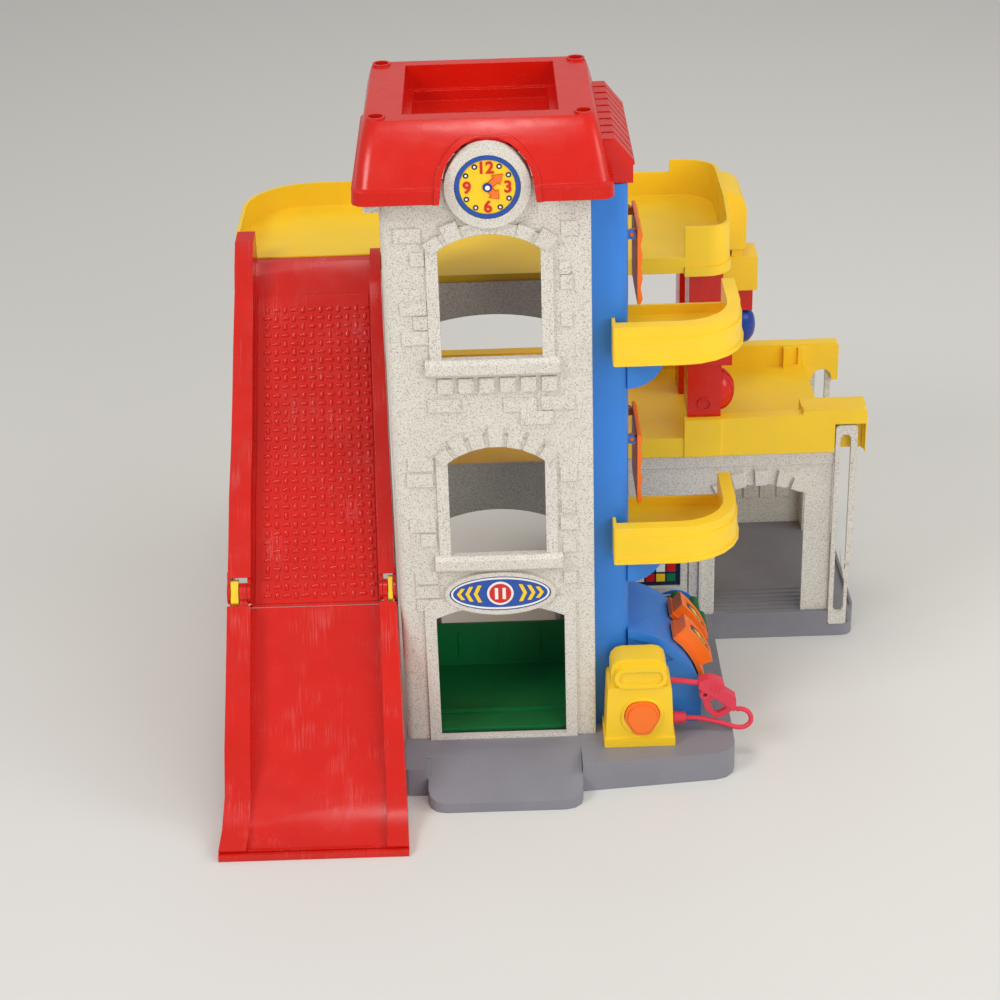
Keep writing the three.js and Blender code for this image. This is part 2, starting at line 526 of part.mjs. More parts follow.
/** The stone front with its rounded left edge, left side and short right return. */
function towerFacade() {
  const back = TOWER.back - WALL - GAP;
  const inner = TOWER.front + WALL;
  const plan = roundCorners([
    [TOWER.left, back], [TOWER.left, TOWER.front, TOWER.corner], [TOWER.right, TOWER.front, PAST],
    [TOWER.right, SIDE.front - GAP], [TOWER.right - WALL, SIDE.front - GAP], [TOWER.right - WALL, inner],
    [TOWER.left + WALL, inner, TOWER.corner - WALL], [TOWER.left + WALL, back],
  ]);
  const shell = standing(plan, BASE.top, TOWER.top);
  const bricks = BRICKS.map(([x, z, width, height]) => block(x - width / 2, x + width / 2,
    TOWER.front - BRICK_PROUD, TOWER.front + PAST, z - height / 2, z + height / 2));
  const dentils = Array.from({ length: DENTILS.count }, (_, i) => {
    const left = DENTILS.left + i * DENTILS.pitch;
    return block(left, left + DENTILS.width, TOWER.front - DENTILS.proud, TOWER.front + PAST, DENTILS.low,
      DENTILS.high);
  });
  const lug = block(LUG.left, LUG.right + PAST, TOWER.front, TOWER.front + LUG.depth, LUG.low, LUG.high);
  const raised = join(shell, doorFrame(), windowFrame(MIDDLE), windowFrame(UPPER), bricks, dentils, lug);
  const openings = [DOOR, MIDDLE, UPPER].map((opening) => throughY(archedOutline(opening),
    TOWER.front - SILL.proud - PAST, inner + PAST));
  const pitch = MIDDLE_STONES.pitch;
  const middleAngles = Array.from({ length: MIDDLE_STONES.to - MIDDLE_STONES.from + 1 },
    (_, i) => (MIDDLE_STONES.from + i) * pitch);
  const clockSeat = rod([CLOCK.x, inner + PAST, CLOCK.z], [CLOCK.x, TOWER.front - SILL.proud, CLOCK.z],
    CLOCK.bezel - PAST * 2, CLOCK.bezel - PAST * 2, RIM_SIDES);
  const signSeat = throughY(ellipse(SIGN.halfWidth - PAST, SIGN.halfHeight - PAST),
    TOWER.front - SILL.proud, TOWER.front);
  return join(cut(raised, openings, clockSeat, signSeat), archStones(MIDDLE, middleAngles, TOWER.front),
    archStones(UPPER, UPPER_STONES, TOWER.front), windowSill(MIDDLE), windowSill(UPPER), clockBezel(),
      signBorder());
}

/** The round dial plate with its raised face. */
function clockDial() {
  const back = TOWER.front - CLOCK.proud + CLOCK.depth;
  const front = back - CLOCK.plate;
  const plate = rod([CLOCK.x, back, CLOCK.z], [CLOCK.x, front, CLOCK.z], CLOCK.recess - GAP,
    CLOCK.recess - GAP, RIM_SIDES);
  const face = rod([CLOCK.x, front + PAST, CLOCK.z], [CLOCK.x, front - CLOCK.rimRise, CLOCK.z], CLOCK.rim,
    CLOCK.rim, RIM_SIDES);
  return join(plate, face);
}

function signPlate() {
  const edge = SIGN.border + GAP;
  const back = TOWER.front - SIGN.proud + SIGN.recess;
  return throughY(ellipse(SIGN.halfWidth - edge, SIGN.halfHeight - edge), back - SIGN.plate, back);
}

/** The stone back wall with a ground exit and two upper exits. */
function towerBack() {
  const wall = block(TOWER.left, SIDE.right, TOWER.back - WALL, TOWER.back, BASE.top, TOWER.top);
  const width = { left: BACK.openLeft, right: BACK.openRight };
  const ground = { ...width, low: BASE.top + WALL, spring: BACK.ground,
    peak: BACK.ground + BACK.groundRise };
  const middle = { ...width, low: BACK.middleLow, spring: BACK.beamLow,
    peak: BACK.beamLow + BACK.beamRise };
  const top = { ...width, low: BACK.beamTop, spring: BACK.topHigh, peak: BACK.topHigh + BACK.beamRise };
  const holes = [ground, middle, top].map((opening) => throughY(archedOutline(opening),
    TOWER.back - WALL - PAST, TOWER.back + PAST));
  const seam = block(TOWER.right, SIDE.right + PAST, TOWER.back - WALL - PAST, TOWER.back + PAST,
    SIDE.top, TOWER.top + PAST);
  return cut(wall, holes, seam);
}

/** Two rounded ears beside one side exit, bored for the gate's pins. */
function exitEars(lift) {
  const ears = [EXIT.front - GAP - EXIT.ear, EXIT.back + GAP].map((front) => join(
    block(SIDE.right - PAST, GATE.x, front, front + EXIT.ear, GATE.z - GATE.ear + lift,
      GATE.z + GATE.ear + lift),
    rod([GATE.x, front + EXIT.ear, GATE.z + lift], [GATE.x, front, GATE.z + lift], GATE.ear)));
  const bore = rod([GATE.x, GATE.back, GATE.z + lift], [GATE.x, GATE.front, GATE.z + lift], GATE.bore);
  return ears.map((ear) => cut(ear, bore));
}

/** The rounded bracket that carries a balcony. */
function gusset(lift) {
  const top = EXIT.low - WALL - GAP - PAST + lift;
  const quarter = (radius, x) => [new THREE.Vector2(x, top),
    ...arc(x, top, radius, -90, 0, CORNER_STEPS * 2)];
  const left = SIDE.right - PAST;
  const outer = throughY(quarter(GUSSET.radius, left), GUSSET.front, GUSSET.back);
  const hollow = throughY(quarter(GUSSET.radius - WALL, left + WALL), GUSSET.front + WALL,
    GUSSET.back - WALL);
  return cut(outer, hollow.translate([0, 0, PAST / 2]));
}

/** The hollow quarter-round housing over the lever shaft, slotted for the lever arms. */
function leverHousing() {
  const quarter = (radius, low) => [
    new THREE.Vector2(HOUSING.x, low), new THREE.Vector2(HOUSING.x + radius, low),
    ...arc(HOUSING.x, HOUSING.z, radius, 0, 90, RIM_SIDES / 3),
  ];
  const outer = throughY(quarter(HOUSING.radius, BASE.top), HOUSING.front, HOUSING.back);
  const hollow = throughY(quarter(HOUSING.radius - WALL, BASE.top - PAST), HOUSING.front + WALL,
    HOUSING.back - WALL);
  const slots = [0, 1].map((i) => {
    const middle = LEVER.front + i * LEVER.pitch + LEVER.width / 2;
    const reach = HOUSING.radius + PAST;
    const wedge = [
      new THREE.Vector2(HOUSING.x + HOUSING.radius / 2, HOUSING.z),
      ...arc(HOUSING.x, HOUSING.z, reach, LEVER.armFrom - LEVER.turn - PAST * 3, LEVER.armTo + PAST * 5,
        RIM_SIDES / 5),
    ];
    return throughY(wedge, middle - LEVER.arm / 2 - PAST, middle + LEVER.arm / 2 + PAST);
  });
  const panel = throughY([
    new THREE.Vector2(HOUSING.x, HOUSING.z + HOUSING.panelInner / 2),
    ...arc(HOUSING.x, HOUSING.z, HOUSING.panelInner, HOUSING.panelFrom, 90, CORNER_STEPS * 2),
  ], HOUSING.front - PAST, HOUSING.front + HOUSING.panelDepth);
  const keep = block(SIDE.right - PAST, BASE.right, HOUSING.front - PAST, HOUSING.back + PAST, BASE.top,
    TOWER.top);
  const bearing = rod([WHEEL.x, HOUSING.back + PAST, WHEEL.z],
    [WHEEL.x, HOUSING.back - WALL - PAST, WHEEL.z], WHEEL.bore);
  return cut(outer, hollow, slots, panel.intersect(keep), bearing).intersect(keep);
}

/** Height at which the lift line leaves the top of the spool. */
function lineTop() {
  return WHEEL.z + SPOOL.radius + LINE / 2;
}

/** The blue side column with two gated exits, balcony brackets and the lever housing. */
function towerSide() {
  const back = TOWER.back - WALL - GAP;
  const plan = roundCorners([
    [TOWER.right + GAP, SIDE.front], [SIDE.right, SIDE.front, SIDE.corner], [SIDE.right, back],
    [SIDE.right - WALL, back], [SIDE.right - WALL, SIDE.front + WALL, SIDE.corner - WALL],
    [TOWER.right + GAP, SIDE.front + WALL],
  ]);
  const column = standing(plan, BASE.top, SIDE.top);
  const exits = [0, -LEVELS].map((lift) => block(SIDE.right - WALL - PAST, SIDE.right + PAST, EXIT.front,
    EXIT.back,
    EXIT.low + lift, EXIT.high + lift));
  const fairlead = block(SIDE.right - WALL - PAST, SIDE.right + PAST, PULLEY.y - FAIRLEAD,
    PULLEY.y + FAIRLEAD,
    lineTop() - FAIRLEAD, LINE_DOWN + FAIRLEAD);
  const stiffened = join(cut(column, exits, fairlead), leverHousing());
  return join(stiffened, [0, -LEVELS].flatMap((lift) => [...exitEars(lift), gusset(lift)]));
}

// Roof

/** One ring of the roof: a rounded rectangle between its eave and its rim. */
function roofRing(height, share, edge) {
  const corners = rectangle(
    ROOF.left + ROOF_INSET.left * share + edge, ROOF.right - ROOF_INSET.right * share - edge,
    ROOF.front + ROOF_INSET.front * share + edge, ROOF.back - ROOF_INSET.back * share - edge, ROOF.corner);
  return roundCorners(corners).map((p) => new THREE.Vector3(p.x, p.y, height));
}

/** The swept roof body, shrunk by an edge and without its crown by a drop. */
function roofBody(edge, drop, low = ROOF.low) {
  const rise = ROOF.high - ROOF.low;
  const rings = ROOF_CURVE.map(([up, share]) => {
    const beaded = up * rise < ROOF.beadHeight + PAST && edge <= 0;
    const height = up === 0 ? low : Math.min(ROOF.low + up * rise, ROOF.high - drop - (1 - up) * PAST / 2);
    return roofRing(height, share, edge - (beaded ? ROOF.bead : 0));
  });
  return loft(rings);
}

/** Outline of the arch that clears the clock, flared at the eave. */
function dormerOutline(edge) {
  const radius = DORMER.radius + edge;
  const flare = DORMER.flare;
  const low = ROOF.low - PAST * 2;
  const side = (turn) => new THREE.Vector2(CLOCK.x + turn * (radius + flare), low);
  return [side(-1), side(1), new THREE.Vector2(CLOCK.x + radius + flare / 3, ROOF.low + flare / 4),
    ...arc(CLOCK.x, CLOCK.z + flare / 3, radius, 0, 180, RIM_SIDES / 2),
    new THREE.Vector2(CLOCK.x - radius - flare / 3, ROOF.low + flare / 4)];
}

/** Hollow tiled lean-to on the roof's right side. */
function leanTo() {
  const outline = (wall) => [
    new THREE.Vector2(LEANTO.inner, LEANTO.low - (wall > 0 ? PAST : 0)),
    new THREE.Vector2(LEANTO.eaveX - wall, LEANTO.low - (wall > 0 ? PAST : 0)),
    new THREE.Vector2(LEANTO.eaveX - wall, LEANTO.eave - wall / 2),
      new THREE.Vector2(LEANTO.ridge - wall / 2, LEANTO.top - wall),
    new THREE.Vector2(LEANTO.inner, LEANTO.top - wall),
  ];
  const outer = throughY(outline(0), LEANTO.front, LEANTO.back);
  const hollow = throughY(outline(LEANTO.wall), LEANTO.front + WALL, LEANTO.back - WALL);
  const tiles = Array.from({ length: TILES.count }, (_, i) => {
    const y = LEANTO.front + (TILES.pitch - TILES.length) / 2 + i * TILES.pitch;
    return throughY(outline(-TILES.rise), y, y + TILES.length);
  });
  const above = block(LEANTO.inner, LEANTO.eaveX + TILES.rise, LEANTO.front, LEANTO.back,
    LEANTO.eave - PAST * 2, ROOF.high);
  return cut(join(outer, tiles.map((tile) => tile.intersect(above))), hollow);
}

/** The red roof: swept skirt, luggage tray, corner cups, clock arch and lean-to. */
function roof() {
  const body = roofBody(0, 0);
  const inner = roofBody(WALL, WALL, ROOF.low - PAST);
  const tray = block(TRAY.left - WALL, TRAY.right + WALL, TRAY.front - WALL, TRAY.back + WALL,
    TRAY.floor - WALL, ROOF.high);
  const upperTray = block(TRAY.left, TRAY.right, TRAY.front, TRAY.back, TRAY.ledge, ROOF.high + PAST);
  const lowerTray = block(TRAY.left + TRAY.step, TRAY.right - TRAY.step, TRAY.front + TRAY.step,
    TRAY.back - TRAY.step,
    TRAY.floor, ROOF.high + PAST);
  const bearers = [
    block(TOWER.left, TOWER.left + WALL, ROOF.front + ROOF_INSET.front, TOWER.back - WALL * 2, TOWER.top,
      ROOF.high - PAST),
    block(TOWER.left + CUPS.inset * 2, TRAY.right, TOWER.back - WALL, TOWER.back, TOWER.top,
      ROOF.high - PAST),
    block(TOWER.left + TOWER.corner, CLOCK.x - DORMER.radius, TOWER.front, TOWER.front + WALL, TOWER.top,
      ROOF.high),
    block(CLOCK.x + DORMER.radius, TOWER.right - PAST, TOWER.front, TOWER.front + WALL, TOWER.top,
      ROOF.high),
  ].map((bearer) => bearer.intersect(body));
  const cupSpots = [-1, 1].flatMap((side) => [-1, 1].map((end) => [
    side < 0 ? ROOF.left + ROOF_INSET.left + CUPS.inset : ROOF.right - ROOF_INSET.right - CUPS.inset,
    end < 0 ? ROOF.front + ROOF_INSET.front + CUPS.inset : ROOF.back - ROOF_INSET.back - CUPS.inset,
  ]));
  const cups = cupSpots.map(([x, y]) => rod([x, y, ROOF.high - CUPS.tall], [x, y, ROOF.high + CUPS.rise],
    CUPS.radius));
  const bores = cupSpots.map(([x, y]) => rod([x, y, ROOF.high - CUPS.deep], [x, y, ROOF.high + PAST * 2],
    CUPS.hole));
  const arch = throughY(dormerOutline(0), ROOF.front - PAST * 4, DORMER.back);
  const lipPrism = cut(throughY(dormerOutline(DORMER.lip), ROOF.front - PAST * 4, DORMER.back), arch);
  const lip = cut(roofBody(-DORMER.grow, 0), inner).intersect(lipPrism);
  const shell = cut(join(cut(body, inner), tray, bearers, leanTo()), upperTray, lowerTray);
  return join(cut(shell, arch), lip, cut(join(...cups), bores)).subtract(join(...bores));
}

// Decks and posts

/** A balcony trough with a hollow bull-nosed wall along its front and right sides. */
function balcony(lift) {
  const floor = EXIT.low - GAP * 2;
  const low = floor - WALL;
  const corners = [
    [BALCONY.left, BALCONY.front, 2], [BALCONY.right, BALCONY.front, BALCONY.corner],
    [BALCONY.right, BALCONY.back],
    [SIDE.right + GAP, BALCONY.back], [SIDE.right + GAP, SIDE.front - GAP],
    [BALCONY.left, SIDE.front - GAP],
  ];
  const trough = (edge) => roundCorners([
    [BALCONY.left + WALL + edge, BALCONY.front + BALCONY.wall - edge],
    [BALCONY.right - BALCONY.wall + edge, BALCONY.front + BALCONY.wall - edge,
      BALCONY.corner - BALCONY.wall + edge],
    [BALCONY.right - BALCONY.wall + edge, BALCONY.back + PAST],
    [BALCONY.left + WALL + edge, BALCONY.back + PAST],
  ], CORNER_STEPS * 2);
  const hold = standing(roundCorners(corners, CORNER_STEPS * 2), low, BALCONY.top + PAST);
  const rim = cut(standing(roundCorners(corners, CORNER_STEPS * 2), low, BALCONY.top),
    standing(trough(0), floor, BALCONY.top + PAST));
  const grow = (edge, from, to) => standing(roundCorners([
    [BALCONY.left, BALCONY.front - edge, 2], [BALCONY.right + edge, BALCONY.front - edge,
      BALCONY.corner + edge],
    [BALCONY.right + edge, BALCONY.back], [BALCONY.right - BALCONY.wall, BALCONY.back],
    [BALCONY.right - BALCONY.wall, BALCONY.front + BALCONY.wall, BALCONY.corner - BALCONY.wall],
    [BALCONY.left, BALCONY.front + BALCONY.wall],
  ], CORNER_STEPS * 2), from, to);
  const steps = [grow(BALCONY.step, low, BALCONY.top - BALCONY.band),
    grow(BALCONY.lip, low, low + BALCONY.bead)];
  const groove = standing(roundCorners([
    [BALCONY.left + WALL, BALCONY.front + WALL, 1], [BALCONY.right - WALL, BALCONY.front + WALL,
      BALCONY.corner - WALL],
    [BALCONY.right - WALL, BALCONY.back - WALL], [BALCONY.right - BALCONY.wall + WALL, BALCONY.back - WALL],
    [BALCONY.right - BALCONY.wall + WALL, BALCONY.front + BALCONY.wall - WALL,
      BALCONY.corner - BALCONY.wall + WALL],
    [BALCONY.left + WALL, BALCONY.front + BALCONY.wall - WALL],
  ], CORNER_STEPS * 2), low - PAST, BALCONY.top - WALL);
  const curb = block(SIDE.right + GAP, BALCONY.right - BALCONY.wall, BALCONY.back - WALL, BALCONY.back,
    floor,
    floor + BALCONY.curb).intersect(hold);
  return cut(join(rim, steps, curb), groove).translate([0, 0, lift]);
}

/** Plan of the upper deck, counter-clockwise. */
function deckCorners() {
  return [
    [DECK.left, LANDING.front, 2], [LANDING.right, LANDING.front], [LANDING.right, DECK.front],
    [TONGUE.left, DECK.front], [TONGUE.left, TONGUE.front], [TONGUE.right, TONGUE.front],
    [TONGUE.right, DECK.front],
    [DECK.right, DECK.front, DECK_CORNER.frontRight], [DECK.right, DECK.back, DECK_CORNER.backRight],
    [DECK.left, DECK.back, DECK_CORNER.left],
  ];
}

/** The swept crest of the guard round the deck's right end, seen along X. */
function guardCrest() {
  const front = DECK.front - GUARD.lipOut * 2;
  return [
    new THREE.Vector2(front, GUARD.low - PAST), new THREE.Vector2(DECK.back + PAST * 3, GUARD.low - PAST),
    new THREE.Vector2(DECK.back + PAST * 3, GUARD.high - PAST * 5),
      new THREE.Vector2(GUARD.crest + GUARD.rise, GUARD.high),
    new THREE.Vector2(GUARD.crest, GUARD.high), new THREE.Vector2(GUARD.rise + PAST * 10,
      GUARD.high - PAST * 6),
    new THREE.Vector2(GUARD.rise, GUARD.front), new THREE.Vector2(front, GUARD.front),
  ];
}

/** The upper deck with its curved left end, tall right guard, side chute cover and cap. */
function deckUpper() {
  const low = DECK.floor - DECK.skirt;
  const plan = deckCorners();
  const wall = WALL + GAP;
  const body = standing(roundCorners(plan, CORNER_STEPS * 2), low, DECK.wall);
  const hollow = standing(roundCorners(inset(plan, wall), CORNER_STEPS * 2), DECK.floor, DECK.wall + PAST);
  const under = standing(roundCorners(inset(plan, wall), CORNER_STEPS * 2), low - PAST, DECK.floor - WALL);
  const openFront = block(DECK.left + wall, GUARD.left, TONGUE.front - PAST, LANDING.front + wall,
    DECK.floor + DECK.curb, DECK.wall + PAST);
  const ribs = DECK_RIBS.map((y) => block(DECK.left + wall, DECK.right - wall, y, y + BASE.rib,
    low + WALL, DECK.floor)
    .intersect(body));
  const tray = join(cut(body, hollow, cut(under, ribs), openFront));
  const ring = [
    [GUARD.left, DECK.front], [DECK.right, DECK.front, DECK_CORNER.frontRight],
    [DECK.right, DECK.back, DECK_CORNER.backRight], [GUARD.left, DECK.back],
  ];
  const grown = inset(ring, -GUARD.lipOut);
  const inner = roundCorners(inset(ring, wall), CORNER_STEPS * 2);
  const far = GUARD.backLeft - PAST * 8;
  const open = inner.map((p) => new THREE.Vector2(p.x < GUARD.left + wall * 2 ? far : p.x, p.y));
  const left = block(GUARD.left, DECK.right + PAST, DECK.front - PAST * 4, DECK.back + PAST * 4,
    GUARD.low, GUARD.high);
  const guard = cut(standing(roundCorners(ring, CORNER_STEPS * 2), low, GUARD.high),
    standing(open, GUARD.low - PAST, GUARD.high + PAST));
  const lip = cut(standing(roundCorners(grown, CORNER_STEPS * 2), GUARD.low, GUARD.low + GUARD.lipHeight),
    standing(open, GUARD.low - PAST, GUARD.high)).intersect(left);
  const crest = throughX(guardCrest(), GUARD.left - PAST, CHUTE.right);
  return join(tray, guard.intersect(crest), lip, chuteCover(), chuteCap());
}

/** The hollow cover behind the guard with a rounded shoulder. */
function chuteCover() {
  const outline = (wall) => roundCorners([
    [CHUTE.left + wall, CHUTE.low - (wall > 0 ? PAST : 0)], [CHUTE.right - wall,
      CHUTE.low - (wall > 0 ? PAST : 0)],
    [CHUTE.right - wall, CHUTE.high - wall, CHUTE.round - wall], [CHUTE.left + wall, CHUTE.high - wall],
  ]);
  return cut(throughY(outline(0), CHUTE.front, CHUTE.back), throughY(outline(WALL), CHUTE.front + WALL,
    CHUTE.back - WALL));
}

/** The cap block below the chute cover, holding the peg. */
function chuteCap() {
  const cap = block(CAP.left, CAP.right, CAP.front, CAP.back, CAP.low, CAP.high);
  const neck = block(CAP.left + WALL, CHUTE.right - WALL, CAP.front + WALL, CAP.back - WALL,
    CAP.high - PAST, CHUTE.low + PAST);
  const socket = block(CAP.left + WALL, CAP.right - WALL, CAP.front + WALL, CAP.back - WALL,
    CAP.low - PAST, CAP.high - WALL);
  const brace = block(DECK.right - WALL, CAP.left + PAST, CAP.front, CAP.back, CAP.low + PAST * 4,
    CHUTE.low + PAST * 6);
  return join(cut(join(cap, neck), socket), brace);
}

function chutePeg() {
  const top = CAP.high - WALL - GAP;
  return block(CAP.left + PEG.side, CAP.right - PEG.side, CAP.front + PEG.front, CAP.back - PEG.front,
    PEG.low, top);
}

/** A rounded hanging knob. */
function chuteKnob() {
  const high = PEG.low - GAP;
  const middle = (KNOB.low + high) / 2;
  const half = (high - KNOB.low) / 2;
  const profile = Array.from({ length: RIM_SIDES / 3 + 1 }, (_, i) => {
    const angle = THREE.MathUtils.degToRad(-90 + (i * 180) / (RIM_SIDES / 3));
    return new THREE.Vector2(KNOB.radius * Math.cos(angle) ** (1 / 2) + MERGE,
      middle + half * Math.sin(angle));
  });
  const closed = [new THREE.Vector2(0, KNOB.low), ...profile, new THREE.Vector2(0, high)];
  const drum = new THREE.LatheGeometry(closed, ROD_SIDES * 2).rotateX(Math.PI / 2).translate(KNOB.x,
    KNOB.y, 0);
  return solidOf(drum);
}

/** A hollow deck rail along X whose top follows an outline in X-Z. */
function deckRail(outline, front, back) {
  const low = outline.reduce((least, [, z]) => Math.min(least, z), outline[0][1]);
  const hollowLine = inset(outline, WALL).map(([x, z, r]) => [x, z < low + WALL * 2 ? low - PAST : z, r]);
  return cut(throughY(roundCorners(outline), front, back), throughY(roundCorners(hollowLine),
    front + WALL, back - WALL));
}

/** The mid deck: a ribbed floor between two hollow rails, open to the right. */
function deckMid() {
  const plan = [
    [MID.left, MID.front, 2], [TONGUE.left, MID.front], [TONGUE.left, TONGUE.front],
    [TONGUE.right, TONGUE.front],
    [TONGUE.right, MID.front], [MID.floorRight, MID.front], [MID.floorRight, MID.back],
    [MID.left, MID.back, 2],
  ];
  const slab = standing(roundCorners(plan), MID.low, MID.floor);
  const under = standing(roundCorners(inset(plan, WALL)), MID.low - PAST, MID.floor - WALL);
  const ribs = Array.from({ length: MID.ribs }, (_, i) => block(MID.left + (i + 1) * BASE.pitch,
    MID.left + (i + 1) * BASE.pitch + BASE.rib,
    MID.front + RAIL.width - WALL, MID.back - RAIL.width + WALL, MID.low + WALL, MID.floor));
  const frontLine = [
    [RAIL.left - WALL, MID.low], [MID.right, MID.low], [MID.right, RAIL.blockTop, 3],
    [RAIL.blockLeft, RAIL.blockTop, 2],
    [RAIL.blockLeft, RAIL.highHeight], [RAIL.left - WALL, RAIL.lowHeight],
  ];
  const rearLine = [[MID.left, MID.low], [MID.right - 2 * PAST, MID.low],
    [MID.right - 2 * PAST, RAIL.highHeight, 3],
    [MID.left, RAIL.highHeight, 3]];
  const front = deckRail(frontLine, MID.front, MID.front + RAIL.width);
  const rear = deckRail(rearLine, MID.back - RAIL.width, MID.back);
  const postBlock = block(POST_BLOCK.left, POST_BLOCK.right, MID.front - PAST, MID.front + RAIL.width,
    MID.low, POST_BLOCK.top);
  const end = block(RAIL.blockLeft, MID.right, MID.front + RAIL.width - WALL, MID.front + RAIL.blockDepth,
    MID.floor - WALL, RAIL.blockTop);
  const endHollow = block(RAIL.blockLeft + WALL, MID.right - WALL, MID.front + RAIL.width,
    MID.front + RAIL.blockDepth - WALL,
    MID.floor - WALL - PAST, RAIL.blockTop - WALL);
  const leftRail = block(MID.left, MID.left + WALL, MID.front, MID.back, MID.low, RAIL.highHeight);
  const curb = block(OPEN_SIDE.left, OPEN_SIDE.right, MID.front, MID.front + WALL, MID.floor - PAST,
    MID.floor + OPEN_SIDE.curb);
  const frontWall = block(TOWER.left + CUPS.inset * 2, TONGUE.left, MID.front, MID.front + WALL, MID.low,
    MID.floor + OPEN_SIDE.curb);
  const notch = block(NOTCH.left, NOTCH.right + PLATE.thick + GAP, MID.front - PAST,
    MID.front + PLATE.thick + PAST * 2, MID.low - PAST,
    NOTCH.top);
  const rearNotch = join(
    rod([REAR_NOTCH.x, MID.back + PAST, REAR_NOTCH.top - REAR_NOTCH.radius / 2],
      [REAR_NOTCH.x, MID.back - RAIL.width - PAST, REAR_NOTCH.top - REAR_NOTCH.radius / 2],
        REAR_NOTCH.radius),
    block(REAR_NOTCH.x - REAR_NOTCH.radius, REAR_NOTCH.x + REAR_NOTCH.radius,
      MID.back - RAIL.width - PAST, MID.back + PAST,
      MID.low - PAST, REAR_NOTCH.top - REAR_NOTCH.radius / 2));
  const body = join(cut(slab, cut(under, ribs)), front, rear, postBlock, cut(end, endHollow), leftRail,
    curb, frontWall, slottedBracket());
  return cut(body, notch, rearNotch, notchBehind(), slotPlateSeat(PLATE.rear, PLATE.top + GAP));
}

/** Clearance behind the end notch for the slot plate's foot on the stone wall. */
function notchBehind() {
  return block(NOTCH.left, NOTCH.right, MID.front, MID.front + RAIL.width / 2, MID.low - PAST,
    MID.low + WALL);
}

/** A slotted bracket on the rear rail's inner face. */
function slottedBracket() {
  const back = MID.back - RAIL.width + PAST;
  const front = back - BRACKET.depth;
  const frame = block(BRACKET.left, BRACKET.right, front, back, BRACKET.low - PAST, BRACKET.top);
  const middle = (BRACKET.left + BRACKET.right) / 2;
  const slot = block(middle - BRACKET.slot / 2, middle + BRACKET.slot / 2, front - PAST,
    front + BRACKET.thick,
    BRACKET.low + BRACKET.thick, BRACKET.top + PAST);
  return cut(frame, slot);
}

/** A red post, open at the back, with a wider cap band and an embossed ring. */
function post(front, low, high, capOut) {
  const back = front + POST.depth;
  const shaft = block(POST.left, POST.right, front, back, low, high);
  const band = block(POST.left, POST.right + capOut, front - PAST, back, POST.cap,
    POST.cap + POST.capHeight);
  const hollow = block(POST.left + WALL, POST.right - WALL, front + WALL, back + PAST, low - PAST,
    high - WALL);
  const x = (POST.left + POST.right) / 2;
  const z = low + POST.ring * 2;
  const disc = (radius, out) => rod([x, front + PAST, z], [x, front - out, z], radius, radius,
    ROD_SIDES * 2);
  const ring = cut(disc(POST.ring, POST.ringRise), disc(POST.ring - WALL / 2, POST.ringRise + PAST));
  return join(cut(join(shaft, band), hollow), cut(ring,
    block(POST.left, POST.right, front, back, low, high)));
}

/** A flattened ball in the middle of a post's right side. */
function domeOf(front, radius, out) {
  const ball = new THREE.SphereGeometry(radius, ROD_SIDES * 2, ROD_SIDES).scale(out / radius, 1, 1);
  return solidOf(ball.translate(POST.right - PAST, front + POST.depth / 2, DOME.z));
}

/** A ribbed half dome on a post's right side. */
function postDome(front) {
  const x = POST.right - PAST;
  const middleY = front + POST.depth / 2;
  const half = block(x, x + DOME.radius * 2, front, front + POST.depth, DOME.z - DOME.radius,
    DOME.z + DOME.radius);
  const shell = domeOf(front, DOME.radius + DOME.ribRise, DOME.out + DOME.ribRise);
  const ribs = Array.from({ length: DOME.ribs }, (_, i) => {
    const y = middleY + (i - (DOME.ribs - 1) / 2) * DOME.spread;
    return block(x, x + DOME.radius * 2, y - DOME.rib / 2, y + DOME.rib / 2, DOME.z - DOME.radius * 2,
      DOME.z + DOME.radius * 2)
      .intersect(shell);
  });
  return join(domeOf(front, DOME.radius, DOME.out).intersect(half), ribs);
}

function postFront() {
  const low = POST_BLOCK.top + GAP;
  const shaft = post(POST.front, low, DECK.floor - WALL - GAP, POST.capOut);
  return cut(join(shaft, postDome(POST.front)), domeOf(POST.front, DOME.radius - WALL, DOME.out - WALL));
}

function postRear() {
  return post(POST.rear, MID.floor + GAP, DECK.floor - WALL - GAP, POST.ringRise);
}

// Low building

/** The stone front with its arched gateway, pier, frieze and a recessed panel seat. */
function lowFront() {
  const back = LOW.front + WALL;
  const wall = block(LOW.left, LOW.right, LOW.front, back, BASE.top, LOW.top);
  const frieze = block(LOW.left, LOW.right, LOW.front - FRIEZE.proud, LOW.front + PAST, FRIEZE.low,
    LOW.top);
  const pier = block(PIER.left, PIER.right, LOW.front - PIER.proud, LOW.front + PAST, BASE.top, PIER.top);
  const strip = block(PIER.second, PIER.second + PIER.proud, LOW.front - PIER.proud * 2, LOW.front + PAST,
    BASE.top, PIER.top);
  const returnWall = block(LOW.right - WALL, LOW.right, LOW.front, LOW.front + PIER.right - PIER.left,
    BASE.top, LOW.top);
  const frame = block(PANEL.left - PIER.proud * 2, PANEL.right, LOW.front - PIER.proud, LOW.front + PAST,
    PANEL.low - PANEL.sill, PANEL.high + PIER.proud);
  const seat = block(PANEL.left, PANEL.right - PIER.proud * 2, LOW.front - PIER.proud - PAST, LOW.front,
    PANEL.low, PANEL.high);
  const sill = block(PANEL.left - PIER.proud * 2, PANEL.right, LOW.front - PANEL.sillProud,
    LOW.front + PAST,
    PANEL.low - PANEL.sill, PANEL.low);
  const gateway = { ...GATEWAY, low: BASE.top - PAST };
  const opening = throughY(archedOutline(gateway), LOW.front - PIER.proud * 3, back + PAST);
  const body = cut(join(wall, frieze, pier, strip, returnWall, cut(frame, seat), sill), opening);
  return join(body, archStones(gateway, GATEWAY_STONES, LOW.front));
}

